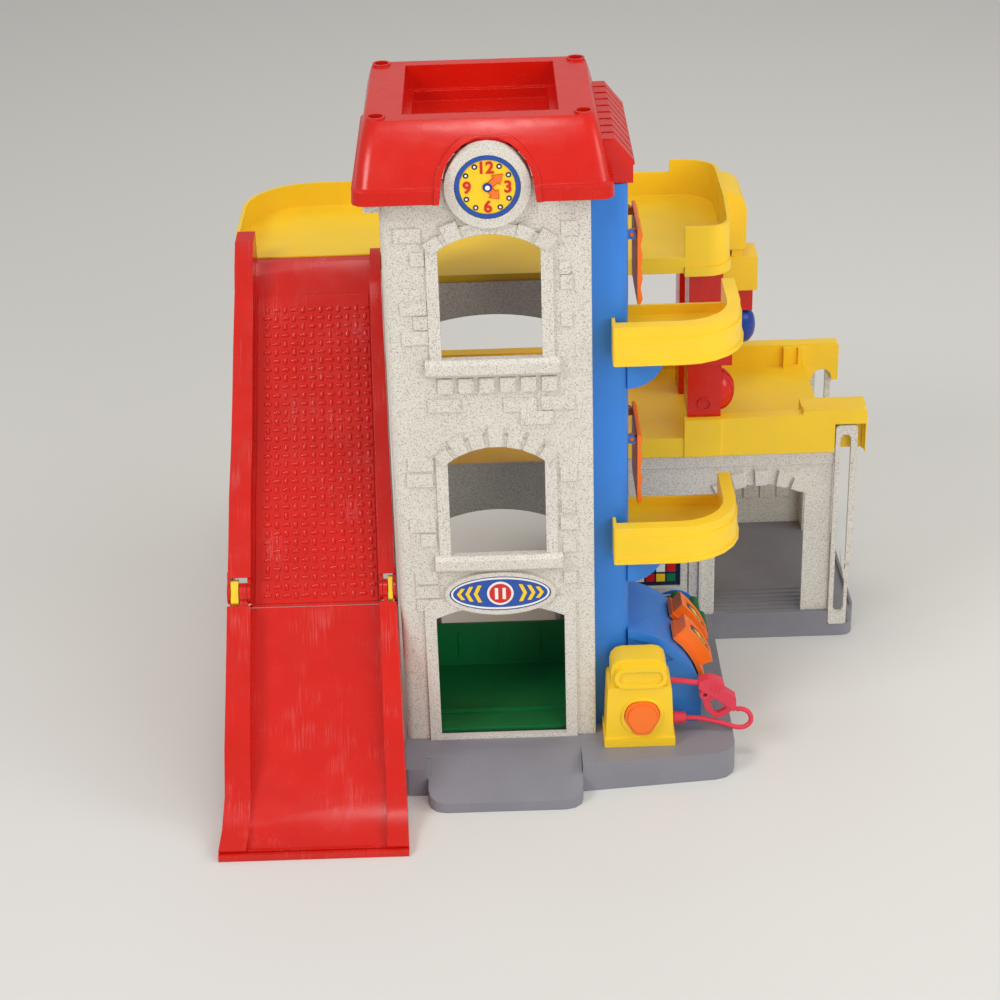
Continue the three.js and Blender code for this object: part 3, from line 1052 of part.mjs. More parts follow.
function picturePanel() {
  return block(PANEL.left + GAP, PANEL.right - PIER.proud * 2 - GAP, LOW.front - PANEL.depth, LOW.front,
    PANEL.low + GAP, PANEL.high - GAP);
}

/** The stone back with raised boards and a plain doorway. */
function lowBack() {
  const front = LOW.back - WALL;
  const wall = block(LOW.left, LOW.right, front, LOW.back, BASE.top, MID.low - GAP);
  const top = block(LOW.left, LOW.right, MID.back - WALL, LOW.back, MID.low - GAP - WALL, MID.low - GAP);
  const side = block(LOW.right - WALL, LOW.right, LOW.back - PIER.right + PIER.left, LOW.back, BASE.top,
    MID.low - GAP);
  const boards = Array.from({ length: BACK_WALL.panels }, (_, i) => {
    const left = BACK_WALL.panelLeft + i * BACK_WALL.panelPitch;
    return block(left, left + BACK_WALL.panelWidth, front - BRICK_PROUD, front + PAST, BACK_WALL.panelLow,
      BACK_WALL.panelHigh);
  });
  const door = block(BACK_WALL.openLeft, BACK_WALL.openRight, front - PAST, LOW.back + PAST,
    BASE.top - PAST, BACK_WALL.openTop);
  return cut(join(wall, top, side, boards), door);
}

/** An upright stone plate with a long slot, a notched outer edge and a spring clip. */
function slotPlate(front) {
  const outline = roundCorners([
    [PLATE.left, PLATE.low, 2], [PLATE.right - PLATE.notchDepth, PLATE.low, 2],
    [PLATE.right - PLATE.notchDepth, PLATE.notch], [PLATE.right, PLATE.notch + PLATE.notchDepth],
    [PLATE.right, PLATE.top, 3], [PLATE.left, PLATE.top, 3],
  ]);
  const middle = (PLATE.left + PLATE.right - PLATE.notchDepth / 2) / 2;
  const half = PLATE.slot / 2;
  const slot = [
    ...arc(middle, PLATE.slotLow + half, half, 180, 360, CORNER_STEPS),
      ...arc(middle, PLATE.slotTop - half, half, 0, 180, CORNER_STEPS),
  ];
  const gate = block(middle, PLATE.right + PAST, front - PAST, front + PLATE.thick + PAST,
    PLATE.notch + PAST, PLATE.notch + PLATE.notchDepth * 2);
  const foot = block(LOW.right - WALL, PLATE.left + WALL, front, front + PLATE.thick, BASE.top + PAST,
    BASE.top + PLATE.low * 3);
  const clip = throughY([
    new THREE.Vector2(middle + half - PAST, CLIP.low), new THREE.Vector2(middle + half + CLIP.thick,
      CLIP.low),
    new THREE.Vector2(middle + half + CLIP.thick - CLIP.lean, CLIP.high),
      new THREE.Vector2(middle + half - CLIP.lean, CLIP.high),
  ], front, front + PLATE.thick);
  return join(cut(throughY(outline, front, front + PLATE.thick),
    throughY(slot, front - PAST, front + PLATE.thick + PAST), gate), clip);
}

// Ramp

/** Distance of a point of the path below the top, as a share of the whole drop. */
function rampShare(y) {
  const top = RAMP_PATH[0][0];
  return (top - y) / (top - FOOT.front);
}

/** Points of the path between two places, each with its upward normal and width. */
function rampStations(from, to, trim = 0) {
  const stations = RAMP_PATH.slice(from, to + 1).map(([y, z], i) => {
    const before = RAMP_PATH[Math.max(from + i - 1, 0)];
    const after = RAMP_PATH[Math.min(from + i + 1, RAMP_PATH.length - 1)];
    const along = new THREE.Vector2(after[0] - before[0], after[1] - before[1]).normalize();
    const share = rampShare(y);
    const flat = THREE.MathUtils.smoothstep(-y, -RAMP.flatFrom, -RAMP.flatTo);
    const high = THREE.MathUtils.lerp(RAMP.rise, RAMP.topRise,
      THREE.MathUtils.smoothstep(y, RAMP_PATH[3][0], RAMP_PATH[1][0]));
    const rightHigh = THREE.MathUtils.lerp(RAMP.rise, RAMP.rightTopRise,
      THREE.MathUtils.smoothstep(y, RAMP_PATH[3][0], RAMP_PATH[1][0]));
    return {
      y, z, along, up: new THREE.Vector2(along.y, -along.x),
      left: THREE.MathUtils.lerp(RAMP.leftTop, RAMP.leftFoot, share),
      right: THREE.MathUtils.lerp(RAMP.rightTop, RAMP.rightFoot, share),
      railLeft: THREE.MathUtils.lerp(RAMP.railLeftTop, RAMP.railLeftFoot, share),
      railRight: THREE.MathUtils.lerp(RAMP.railRightTop, RAMP.railRightFoot, share),
      rise: THREE.MathUtils.lerp(high, RAMP.flatRise, flat),
      rightRise: THREE.MathUtils.lerp(rightHigh, RAMP.flatRise, flat),
      skirt: THREE.MathUtils.lerp(RAMP.skirt, RAMP.topSkirt,
        THREE.MathUtils.smoothstep(y, RAMP_PATH[3][0], RAMP_PATH[2][0])),
    };
  });
  if (trim !== 0) {
    const split = trim > 0 ? stations[0] : stations[stations.length - 1];
    split.y += split.along.x * trim;
    split.z += split.along.y * trim;
  }
  return stations;
}

/** A strip lofted down the ramp between two lines across it and two heights over its floor. */
function rampStrip(stations, leftOf, rightOf, lowOf, highOf) {
  const at = (s, x, height) => new THREE.Vector3(x, s.y + s.up.x * height,
    Math.max(s.z + s.up.y * height, 0));
  const rings = stations.map((s) => [
    at(s, leftOf(s), lowOf(s)), at(s, rightOf(s), lowOf(s)), at(s, rightOf(s), highOf(s)),
      at(s, leftOf(s), highOf(s)),
  ]);
  const positions = rings.flatMap((ring) => ring.flatMap((p) => p.toArray()));
  const corners = rings[0].length;
  const index = [];
  rings.slice(1).forEach((_, r) => {
    for (let i = 0; i < corners; i += 1) {
      const a = r * corners + i;
      const b = r * corners + ((i + 1) % corners);
      index.push(a, b, a + corners, b, b + corners, a + corners);
    }
  });
  const last = (rings.length - 1) * corners;
  index.push(0, 2, 1, 0, 3, 2, last, last + 1, last + 2, last, last + 2, last + 3);
  const geometry = new THREE.BufferGeometry();
  geometry.setAttribute('position', new THREE.Float32BufferAttribute(positions, 3));
  geometry.setIndex(index);
  return solidOf(geometry);
}

/** One hollow rail of the ramp, open below, on the left or right. */
function rampRail(stations, side) {
  const outer = side < 0 ? (s) => s.left : (s) => s.right;
  const width = side < 0 ? (s) => s.railLeft : (s) => s.railRight;
  const at = (inward) => (s) => outer(s) - side * inward(s);
  const strip = (a, b, low, high) => (side < 0
    ? rampStrip(stations, at(a), at(b), low, high) : rampStrip(stations, at(b), at(a), low, high));
  const zero = () => 0;
  const wall = () => WALL;
  const inner = (s) => width(s) - WALL;
  const top = side < 0 ? (s) => s.rise : (s) => s.rightRise;
  return join(
    strip(zero, wall, (s) => -s.skirt, top),
    strip(zero, width, (s) => top(s) - WALL, top),
    strip(inner, width, () => -RAMP.floor, top));
}

function rampFloor(stations) {
  return rampStrip(stations, (s) => s.left + s.railLeft - PAST, (s) => s.right - s.railRight + PAST,
    () => -RAMP.floor, () => 0);
}

/** A disc about the hinge axis between two places across the ramp. */
function hingeDisc(left, right, radius) {
  return rod([left, HINGE.y, HINGE.z], [right, HINGE.y, HINGE.z], radius, radius, ROD_SIDES * 2);
}

/** A web that ties a hinge disc to the rail up or down the slope. */
function hingeWeb(left, right, turn) {
  const split = rampStations(RAMP_SPLIT, RAMP_SPLIT)[0];
  const reach = HINGE.clear + WALL;
  const along = split.along.clone().multiplyScalar(turn);
  const corner = (distance, height) => new THREE.Vector2(
    HINGE.y + along.x * distance + split.up.x * height, HINGE.z + along.y * distance + split.up.y * height);
  const outline = [corner(0, -HINGE.web), corner(reach, -HINGE.web), corner(reach, HINGE.web),
    corner(0, HINGE.web)];
  return throughX(turn > 0 ? outline : outline.reverse(), left, right);
}

/** Where the latch and the ear lie between the cheeks of one rail, counted inwards from its side. */
function hingeRoom(side) {
  const split = rampStations(RAMP_SPLIT, RAMP_SPLIT)[0];
  const width = side < 0 ? split.railLeft : split.railRight;
  const half = (width - WALL * 2) / 2;
  return { width, plate: half - GAP * 2, latch: WALL + GAP, ear: WALL + half + GAP };
}

/** Where a hinge cheek or ear lies across the ramp, counted inwards from one side. */
function hingeSpan(side, from, width) {
  const split = rampStations(RAMP_SPLIT, RAMP_SPLIT)[0];
  const outer = side < 0 ? split.left : split.right;
  const near = outer - side * from;
  const far = outer - side * (from + width);
  return [Math.min(near, far), Math.max(near, far)];
}

/** The fixed upper ramp: rails with hinge cheeks, landing, raised tread panel and side hooks. */
function rampUpper() {
  const stations = rampStations(0, RAMP_SPLIT, -RAMP.split);
  const clear = hingeDisc(RAMP.leftFoot, RAMP.rightFoot + PAST * 2, HINGE.clear);
  const rails = cut(join(rampRail(stations, -1), rampRail(stations, 1)), clear);
  const cheeks = [-1, 1].flatMap((side) => [0, hingeRoom(side).width - WALL].map((from) => {
    const [left, right] = hingeSpan(side, from, WALL);
    return cut(join(hingeDisc(left, right, HINGE.disc), hingeWeb(left, right, -1)),
      hingeDisc(left - PAST, right + PAST, HINGE.bore));
  }));
  const panel = rampStations(TREAD_PANEL.from, RAMP_SPLIT, -TREAD_PANEL.end);
  const raised = rampStrip(panel, (s) => s.left + s.railLeft + TREAD_PANEL.frame,
    (s) => s.right - s.railRight - TREAD_PANEL.frame,
    () => -PAST, () => TREAD_PANEL.proud);
  const hooks = HOOKS.map(({ y, size }) => {
    const at = rampStations(3, 4)[0];
    const slope = (y - at.y) * (at.along.y / at.along.x);
    return block(at.left - size / 3, at.left + PAST, y - size / 2, y + size / 2, at.z + slope - size / 2,
      at.z + slope + size / 2);
  });
  return join(rails, rampFloor(stations), raised, cheeks, hooks);
}

/** The folding lower ramp: rails with hinge ears, flat foot pads and a double lip. */
function rampLower() {
  const stations = rampStations(RAMP_SPLIT, RAMP_PATH.length - 1);
  const clear = hingeDisc(RAMP.leftFoot, RAMP.rightFoot + PAST * 2, HINGE.clear);
  const rails = cut(join(rampRail(stations, -1), rampRail(stations, 1)), clear);
  const ears = [-1, 1].map((side) => {
    const room = hingeRoom(side);
    const [left, right] = hingeSpan(side, room.ear, room.plate);
    return cut(join(hingeDisc(left, right, HINGE.disc), hingeWeb(left, right, 1), earTie(side)),
      hingeDisc(left - PAST, right + PAST, HINGE.bore));
  });
  const foot = stations[stations.length - 1];
  const lips = [FOOT.front, FOOT.front + FOOT.pitch].map((y) => block(foot.left, foot.right, y,
    y + FOOT.ridge, 0, FOOT.lip));
  const pads = block(foot.left, foot.right, FOOT.front + FOOT.ridge - PAST, FOOT.back, 0, FOOT.ridge);
  return join(rails, rampFloor(stations), lips, pads, ears);
}

/** A short block inside the lower rail's end that carries its hinge ear. */
function earTie(side) {
  const split = rampStations(RAMP_SPLIT, RAMP_SPLIT)[0];
  const [left, right] = hingeSpan(side, WALL / 2, hingeRoom(side).width - WALL);
  const corner = (distance, height) => new THREE.Vector2(
    HINGE.y + split.along.x * distance + split.up.x * height,
      HINGE.z + split.along.y * distance + split.up.y * height);
  const near = HINGE.clear + GAP;
  const far = near + WALL * 2;
  const outline = [corner(near, -HINGE.web), corner(far, -HINGE.web), corner(far, HINGE.web),
    corner(near, HINGE.web)];
  return throughX(outline, left, right);
}

/** A yellow latch: a pin through the rail with an oblong head that shows in the rail's gap. */
function rampLatch(side) {
  const split = rampStations(RAMP_SPLIT, RAMP_SPLIT)[0];
  const room = hingeRoom(side);
  const [left, right] = hingeSpan(side, room.latch, room.plate);
  const corner = (distance, height) => [
    HINGE.y + split.along.x * distance + split.up.x * height,
      HINGE.z + split.along.y * distance + split.up.y * height, LATCH.rise];
  const outline = roundCorners([
    corner(-LATCH.length, 0), corner(LATCH.length, 0), corner(LATCH.length - LATCH.rise, LATCH.half),
    corner(-LATCH.length + LATCH.rise, LATCH.half),
  ].map(([y, z]) => [y, z, PAST]));
  const head = throughX(outline, left, right);
  const [pinLeft, pinRight] = hingeSpan(side, 0, room.width - WALL / 2);
  return join(head, hingeDisc(pinLeft, pinRight, HINGE.pin),
    hingeDisc(left, right, HINGE.disc - LATCH.rise));
}

// Lift

/** The guide rail on the tower's back wall, with an ear and pin for the pulley. */
function liftGuide() {
  const back = TOWER.back - WALL - GAP;
  const flange = block(GUIDE.x - GUIDE.half, GUIDE.x + GUIDE.half, GUIDE.flangeFront, GUIDE.flangeBack,
    GUIDE.low, GUIDE.top);
  const web = block(GUIDE.x - GUIDE.web, GUIDE.x + GUIDE.web, GUIDE.flangeBack - PAST, back, GUIDE.low,
    GUIDE.top);
  const ear = block(PULLEY.x - GUIDE.half, PULLEY.x + GUIDE.half, PULLEY.y + PULLEY.half + GAP, back,
    GUIDE.top - GUIDE.half, GUIDE.ear);
  const pin = rod([PULLEY.x, back - PAST, PULLEY.z], [PULLEY.x, PULLEY.y - PULLEY.half - PAST, PULLEY.z],
    PULLEY.pin);
  const head = rod([PULLEY.x, PULLEY.y - PULLEY.half - GAP, PULLEY.z],
    [PULLEY.x, PULLEY.y - PULLEY.half - WALL, PULLEY.z],
    PULLEY.pin * 2);
  return join(flange, web, ear, pin, head);
}

/** A grooved pulley turned about the Y axis. */
function liftPulley() {
  const profile = [
    [PULLEY.bore, -PULLEY.half], [PULLEY.flange, -PULLEY.half], [PULLEY.flange, -PULLEY.half + PAST / 2],
    [PULLEY.groove, -LINE / 2], [PULLEY.groove, LINE / 2], [PULLEY.flange, PULLEY.half - PAST / 2],
    [PULLEY.flange, PULLEY.half], [PULLEY.bore, PULLEY.half], [PULLEY.bore, -PULLEY.half],
  ].map(([radius, y]) => new THREE.Vector2(radius, y));
  return solidOf(new THREE.LatheGeometry(profile, RIM_SIDES).translate(PULLEY.x, PULLEY.y, PULLEY.z));
}

/** The line from the car's hook up to the pulley. */
function liftLine() {
  return tube([[LINE_LEFT, PULLEY.y, SHOE.high + GAP], [LINE_LEFT, PULLEY.y, (SHOE.high + PULLEY.z) / 2],
    [LINE_LEFT, PULLEY.y, PULLEY.z - GAP]], LINE, HOSE.sides, 3);
}

/** The line over the pulley, down beside the blue side and out to the spool. */
function liftLineReturn() {
  const radius = (LINE_RIGHT - LINE_LEFT) / 2;
  const over = arc(PULLEY.x, PULLEY.z, radius, 180, 0, CORNER_STEPS * 2).map((p) => [p.x, PULLEY.y, p.y]);
  const height = lineTop();
  const bend = (LINE_DOWN - height) / 2;
  const route = [...over, [LINE_RIGHT, PULLEY.y, PULLEY.z - LINE_DOWN / 4],
    [LINE_RIGHT, PULLEY.y, (PULLEY.z + height) / 2], [LINE_RIGHT, PULLEY.y, LINE_DOWN + bend],
    [LINE_RIGHT + PAST / 2, PULLEY.y, height + bend], [LINE_RIGHT + bend, PULLEY.y, height + PAST / 4],
    [SIDE.right + bend, PULLEY.y, height], [WHEEL.x, PULLEY.y, height]];
  return tube(route, LINE, HOSE.sides, HOSE.steps);
}

/** The lift car: an open tray with a back wall and a shoe that grips the guide rail. */
function liftCar() {
  const floorTop = CAR.low + CAR.floor;
  const wallTop = floorTop + CAR.backHeight - CAR.floor;
  const plan = roundCorners([
    [CAR.left, CAR.front, 2], [CAR.notch, CAR.front, 2], [CAR.notch, CAR.notchBack],
    [CAR.right, CAR.notchBack, 2],
    [CAR.right, CAR.back], [CAR.left, CAR.back, 3],
  ]);
  const floor = standing(plan, CAR.low, floorTop);
  const backLine = roundCorners([
    [CAR.left, CAR.low], [CAR.right, CAR.low], [CAR.right, wallTop, CAR.round],
    [CAR.left, wallTop, CAR.round],
  ]);
  const backWall = throughY(backLine, CAR.back - CAR.wall, CAR.back);
  const sideLine = roundCorners([
    [CAR.front, CAR.low], [CAR.back, CAR.low], [CAR.back, floorTop + CAR.sideHeight],
    [CAR.front, floorTop + CAR.sideHeight / 3, CAR.round],
  ]);
  const sideWall = throughX(sideLine, CAR.left, CAR.left + CAR.wall);
  const ridge = block(CAR.left, CAR.right, CAR.ridge, CAR.ridge + CAR.ridgeWidth, floorTop - PAST,
    floorTop + CAR.ridgeRise);
  const lines = Array.from({ length: CAR.lines }, (_, i) => {
    const x = CAR.left + CAR.lineGap * (i + 1);
    return block(x, x + CAR.line * 2, CAR.back - CAR.wall - CAR.line, CAR.back, floorTop + CAR.round,
      wallTop - CAR.round);
  });
  const outerHalf = GUIDE.half + SHOE.clear + SHOE.wall;
  const shoe = block(GUIDE.x - outerHalf, GUIDE.x + outerHalf, SHOE.front, SHOE.back, SHOE.low, SHOE.high);
  const neck = block(GUIDE.x - outerHalf, GUIDE.x + outerHalf, CAR.back - PAST, SHOE.front + PAST,
    SHOE.low, SHOE.high);
  const hook = block(GUIDE.x - outerHalf, GUIDE.x - GUIDE.web - SHOE.clear * 2, SHOE.back - PAST,
    SHOE.hookBack, SHOE.hookLow, SHOE.high);
  const slot = block(GUIDE.x - GUIDE.half - SHOE.clear, GUIDE.x + GUIDE.half + SHOE.clear,
    GUIDE.flangeFront - SHOE.clear,
    GUIDE.flangeBack + SHOE.clear, SHOE.low - PAST, SHOE.high + PAST);
  const mouth = block(GUIDE.x - GUIDE.web - SHOE.clear, GUIDE.x + GUIDE.web + SHOE.clear,
    GUIDE.flangeBack, SHOE.back + PAST,
    SHOE.low - PAST, SHOE.high + PAST);
  return join(floor, backWall, sideWall, ridge, lines, cut(join(shoe, neck, hook), slot, mouth));
}

/** The lobed winding wheel with a dished face and shaft. */
function windingWheel() {
  const along = (front, back, radius, sides = ROD_SIDES * 2) => rod([WHEEL.x, back, WHEEL.z],
    [WHEEL.x, front, WHEEL.z],
    radius, radius, sides);
  const lobes = Array.from({ length: WHEEL.lobes }, (_, i) => {
    const angle = (i * 2 * Math.PI) / WHEEL.lobes;
    const x = WHEEL.x + (WHEEL.radius - WHEEL.lobe) * Math.cos(angle);
    const z = WHEEL.z + (WHEEL.radius - WHEEL.lobe) * Math.sin(angle);
    return rod([x, WHEEL.back, z], [x, WHEEL.front, z], WHEEL.lobe);
  });
  const rim = join(along(WHEEL.front, WHEEL.back, WHEEL.rim + PAST), lobes);
  const dish = cut(along(WHEEL.front - PAST, WHEEL.front + WHEEL.depth, WHEEL.recess),
    along(WHEEL.front - PAST * 2,
    WHEEL.front + WHEEL.depth + PAST, WHEEL.hub));
  const backDish = cut(along(WHEEL.back - WHEEL.depth * 2, WHEEL.back + PAST, WHEEL.recess),
    along(WHEEL.back - WHEEL.depth * 3,
    WHEEL.back + PAST * 2, WHEEL.hub));
  const shaft = along(WHEEL.shaftFront, WHEEL.shaftBack, WHEEL.shaft, ROD_SIDES);
  return join(cut(rim, dish, backDish), shaft);
}

function windingSpool() {
  const profile = [
    [WHEEL.shaft + GAP / 3, SPOOL.front], [SPOOL.flange, SPOOL.front],
    [SPOOL.flange, SPOOL.front + SPOOL.flangeWidth],
    [SPOOL.radius, SPOOL.front + SPOOL.flangeWidth], [SPOOL.radius, SPOOL.back - SPOOL.flangeWidth],
    [SPOOL.flange, SPOOL.back - SPOOL.flangeWidth], [SPOOL.flange, SPOOL.back],
    [WHEEL.shaft + GAP / 3, SPOOL.back],
    [WHEEL.shaft + GAP / 3, SPOOL.front],
  ].map(([radius, y]) => new THREE.Vector2(radius, y));
  return solidOf(new THREE.LatheGeometry(profile, RIM_SIDES).translate(WHEEL.x, 0, WHEEL.z));
}

/** The stand on the base that carries the rear end of the winding wheel's shaft. */
function wheelStand() {
  const low = BASE.top;
  const back = STAND.front + STAND.thick;
  const cheek = throughY(roundCorners([
    [WHEEL.x - STAND.half, low], [WHEEL.x + STAND.half, low],
    [WHEEL.x + STAND.half, STAND.top, STAND.half - PAST],
    [WHEEL.x - STAND.half, STAND.top, STAND.half - PAST],
  ]), STAND.front, back);
  const foot = block(WHEEL.x - STAND.footOut, WHEEL.x + STAND.footOut, STAND.front, back + STAND.footOut,
    low, low + STAND.foot);
  const rib = throughX([
    new THREE.Vector2(back - PAST, low), new THREE.Vector2(back + STAND.footOut, low),
    new THREE.Vector2(back + STAND.footOut, low + STAND.foot),
      new THREE.Vector2(back - PAST, WHEEL.z - STAND.half),
  ], WHEEL.x - WALL / 2, WHEEL.x + WALL / 2);
  const bore = rod([WHEEL.x, back + PAST, WHEEL.z], [WHEEL.x, STAND.front - PAST, WHEEL.z], WHEEL.bore);
  return cut(join(cheek, foot, rib), bore);
}

// Levers and gates

/** A pivoting lever: hub, arm, curved strip and a thumb pad with a sunk seat. */
function lever(place) {
  const front = LEVER.front + place * LEVER.pitch;
  const back = front + LEVER.width;
  const middle = (front + back) / 2;
  const sector = (inner, outer, from, to) => [
    ...arc(HOUSING.x, HOUSING.z, outer, from, to, CORNER_STEPS * 2),
    ...arc(HOUSING.x, HOUSING.z, inner, to, from, CORNER_STEPS * 2),
  ];
  const strip = throughY(sector(LEVER.inner, LEVER.outer, LEVER.from, LEVER.to), front, back);
  const pad = throughY(sector(LEVER.outer - PAST, PAD.outer, PAD.from, PAD.to), front + PAD.inset,
    back - PAD.inset);
  const border = (PAD.border * 2) / PAST;
  const seat = throughY(sector(PAD.outer - PAD.seat, PAD.outer + PAST, PAD.from + border / 2,
    PAD.to - border / 2),
    front + PAD.inset + PAD.border, back - PAD.inset - PAD.border);
  const fan = [
    new THREE.Vector2(SHAFT.x, SHAFT.z),
    ...arc(HOUSING.x, HOUSING.z, LEVER.inner + PAST, LEVER.armFrom, LEVER.armTo, CORNER_STEPS * 2),
  ];
  const arm = throughY(fan, middle - LEVER.arm / 2, middle + LEVER.arm / 2);
  const hub = rod([SHAFT.x, middle + LEVER.hub, SHAFT.z], [SHAFT.x, middle - LEVER.hub, SHAFT.z],
    LEVER.hub);
  const bore = rod([SHAFT.x, back, SHAFT.z], [SHAFT.x, front, SHAFT.z], LEVER.bore);
  return cut(join(strip, cut(pad, seat), arm, hub), bore);
}

function leverShaft() {
  return rod([SHAFT.x, HOUSING.back - WALL - GAP, SHAFT.z], [SHAFT.x, HOUSING.front + WALL + GAP,
    SHAFT.z], SHAFT.radius);
}

/** A hanging gate with a rippled outer face, on two lugs with pins that turn in the exit's ears. */
function gate(lift) {
  const x = GATE.x;
  const z = GATE.z + lift;
  const ripple = Array.from({ length: GATE.ripples * 4 + 1 }, (_, i) => {
    const share = i / (GATE.ripples * 4);
    const height = THREE.MathUtils.lerp(GATE.high - GATE.round, GATE.low + GATE.round, share);
    return new THREE.Vector2(x + GATE.outer + GATE.ripple * Math.cos(share * GATE.ripples * 2 * Math.PI),
      height + lift);
  });
  const outline = [
    new THREE.Vector2(x + GATE.inner, GATE.high + lift), new THREE.Vector2(x + GATE.outer - PAST,
      GATE.high + lift), ...ripple,
    new THREE.Vector2(x + GATE.outer - PAST, GATE.low + lift),
      new THREE.Vector2(x + GATE.inner, GATE.low + lift),
  ].reverse();
  const panel = throughY(outline, GATE.front, GATE.back);
  const lugs = [EXIT.front + GAP, EXIT.back - GAP - GATE.lugWidth].map((front) => join(
    block(x, x + GATE.inner + PAST, front, front + GATE.lugWidth, z - GATE.lug, z + GATE.lug),
    rod([x, front + GATE.lugWidth, z], [x, front, z], GATE.lug)));
  const pins = [[EXIT.front - EXIT.ear, EXIT.front + PAST], [EXIT.back - PAST,
    EXIT.back + EXIT.ear]].map(([front, back]) => (
    rod([x, back, z], [x, front, z], GATE.pin)));
  return join(panel, lugs, pins);
}

// Pump

/** Outline of the pump's button, a rounded triangle with its point down. */
function pressOutline(edge) {
  const half = PRESS.topWidth / 2 + edge;
  return roundCorners([
    [PRESS.x - half * PRESS.lowShare, PRESS.low - edge, PRESS.lowRound / 2],
    [PRESS.x + half * PRESS.lowShare, PRESS.low - edge, PRESS.lowRound / 2],
    [PRESS.x + half, (PRESS.low + PRESS.high) / 2, PRESS.round],
    [PRESS.x + half * PRESS.highShare, PRESS.high + edge, PRESS.round],
    [PRESS.x - half * PRESS.highShare, PRESS.high + edge, PRESS.round],
    [PRESS.x - half, (PRESS.low + PRESS.high) / 2, PRESS.round],
  ]);
}

/** The pump: a tapered body with a domed cap, open at the back. */
function pumpBody() {
  const low = BASE.top;
  const bodyCorners = [
    [PUMP.left, low], [PUMP.right, low], [PUMP.right - PUMP.taper, PUMP.shoulder, 3],
    [PUMP.left + PUMP.taper, PUMP.shoulder, 3],
  ];
  const capCorners = [
    [PUMP.capLeft, low + PUMP.foot], [PUMP.capRight, low + PUMP.foot],
    [PUMP.capRight, PUMP.capTop, PUMP.capRound],
    [PUMP.capLeft, PUMP.capTop, PUMP.capRound],
  ];
  const body = throughY(roundCorners(bodyCorners), PUMP.front, PUMP.back);
  const cap = throughY(roundCorners(capCorners), PUMP.front + PUMP.capBack, PUMP.capRear);
  const foot = block(PUMP.left - PUMP.footOut / 2, PUMP.right + PUMP.footOut / 2,
    PUMP.front - PUMP.footOut, PUMP.back, low, PUMP.foot);
  const hollow = join(
    throughY(roundCorners(inset(bodyCorners, WALL)), PUMP.front + WALL, PUMP.back + PAST),
    throughY(roundCorners(inset(capCorners, WALL)), PUMP.front + PUMP.capBack + WALL, PUMP.capRear + PAST));
  const ring = rod([PUMP_RING.x, PUMP.front + PAST, PUMP_RING.z],
    [PUMP_RING.x, PUMP.front - PUMP_RING.proud, PUMP_RING.z],
    PUMP_RING.radius, PUMP_RING.radius - PAST, RIM_SIDES);
  const pill = (edge, front, back) => {
    const half = PUMP_PILL.halfHeight - edge;
    return throughY(roundCorners(rectangle(PUMP_PILL.x - PUMP_PILL.halfWidth + edge,
      PUMP_PILL.x + PUMP_PILL.halfWidth - edge,
      PUMP_PILL.z - half, PUMP_PILL.z + half, half - PAST / 2)), front, back);
  };
  const pillRim = cut(pill(0, PUMP.front - PUMP_PILL.proud, PUMP.front + PUMP.capBack + PAST),
    pill(PUMP_PILL.rim, PUMP.front - PUMP_PILL.proud - PAST, PUMP.front + PAST / 2));
  const well = throughY(pressOutline(PRESS.slack), PUMP.front - PUMP_RING.proud - PAST,
    PUMP.front + WALL + PAST);
  const socket = rod([PUMP.right - PUMP.taper - WALL * 2, PUMP.socketY, PUMP.socketZ],
    [PUMP.right + PAST, PUMP.socketY, PUMP.socketZ],
    PUMP.socket);
  return cut(join(cut(join(body, cap, foot), hollow), ring, pillRim), well, socket);
}

/** The pump's push button, slightly domed. */
function pumpButton() {
  const front = PUMP.front - PUMP_RING.proud;
  const plug = throughY(pressOutline(0), front - PRESS.dome / 2, front + PRESS.inside);
  const crown = throughY(pressOutline(-PRESS.edge), front - PRESS.dome, front);
  return join(plug, crown);
}

function hoseCollar() {
  return rod([COLLAR.left, COLLAR.y, COLLAR.z], [COLLAR.right, COLLAR.y, COLLAR.z], COLLAR.radius,
    COLLAR.tip);
}

/** The free hose from the pump's collar round to the nozzle. */
function pumpHose() {
  return tube(HOSE_ROUTE, HOSE.diameter, HOSE.sides, HOSE.steps);
}

/** The nozzle: ribbed body, spout, eye and a three-sided guard. */
function pumpNozzle() {
  const slab = (corners, half) => throughY(roundCorners(corners), NOZZLE.y - half, NOZZLE.y + half);
  const body = slab([...NOZZLE_BODY].reverse(), NOZZLE.half);
  const guard = cut(slab(NOZZLE_GUARD, NOZZLE.guardHalf), slab(NOZZLE_GUARD_HOLE, NOZZLE.half + PAST));
  const spout = rod([NOZZLE_SPOUT.fromX, NOZZLE.y, NOZZLE_SPOUT.fromZ],
    [NOZZLE_SPOUT.toX, NOZZLE.y, NOZZLE_SPOUT.toZ],
    NOZZLE_SPOUT.radius);
  const eyeDisc = (radius, half) => rod([NOZZLE.eyeX, NOZZLE.y + half, NOZZLE.eyeZ],
    [NOZZLE.eyeX, NOZZLE.y - half, NOZZLE.eyeZ], radius);
  return cut(join(body, guard, spout, eyeDisc(NOZZLE.eye, NOZZLE.guardHalf + PAST)),
    eyeDisc(NOZZLE.eyeHole, NOZZLE.half + PAST));
}

// Assembly

const garage = new THREE.Group();
garage.name = 'toy_parking_garage';

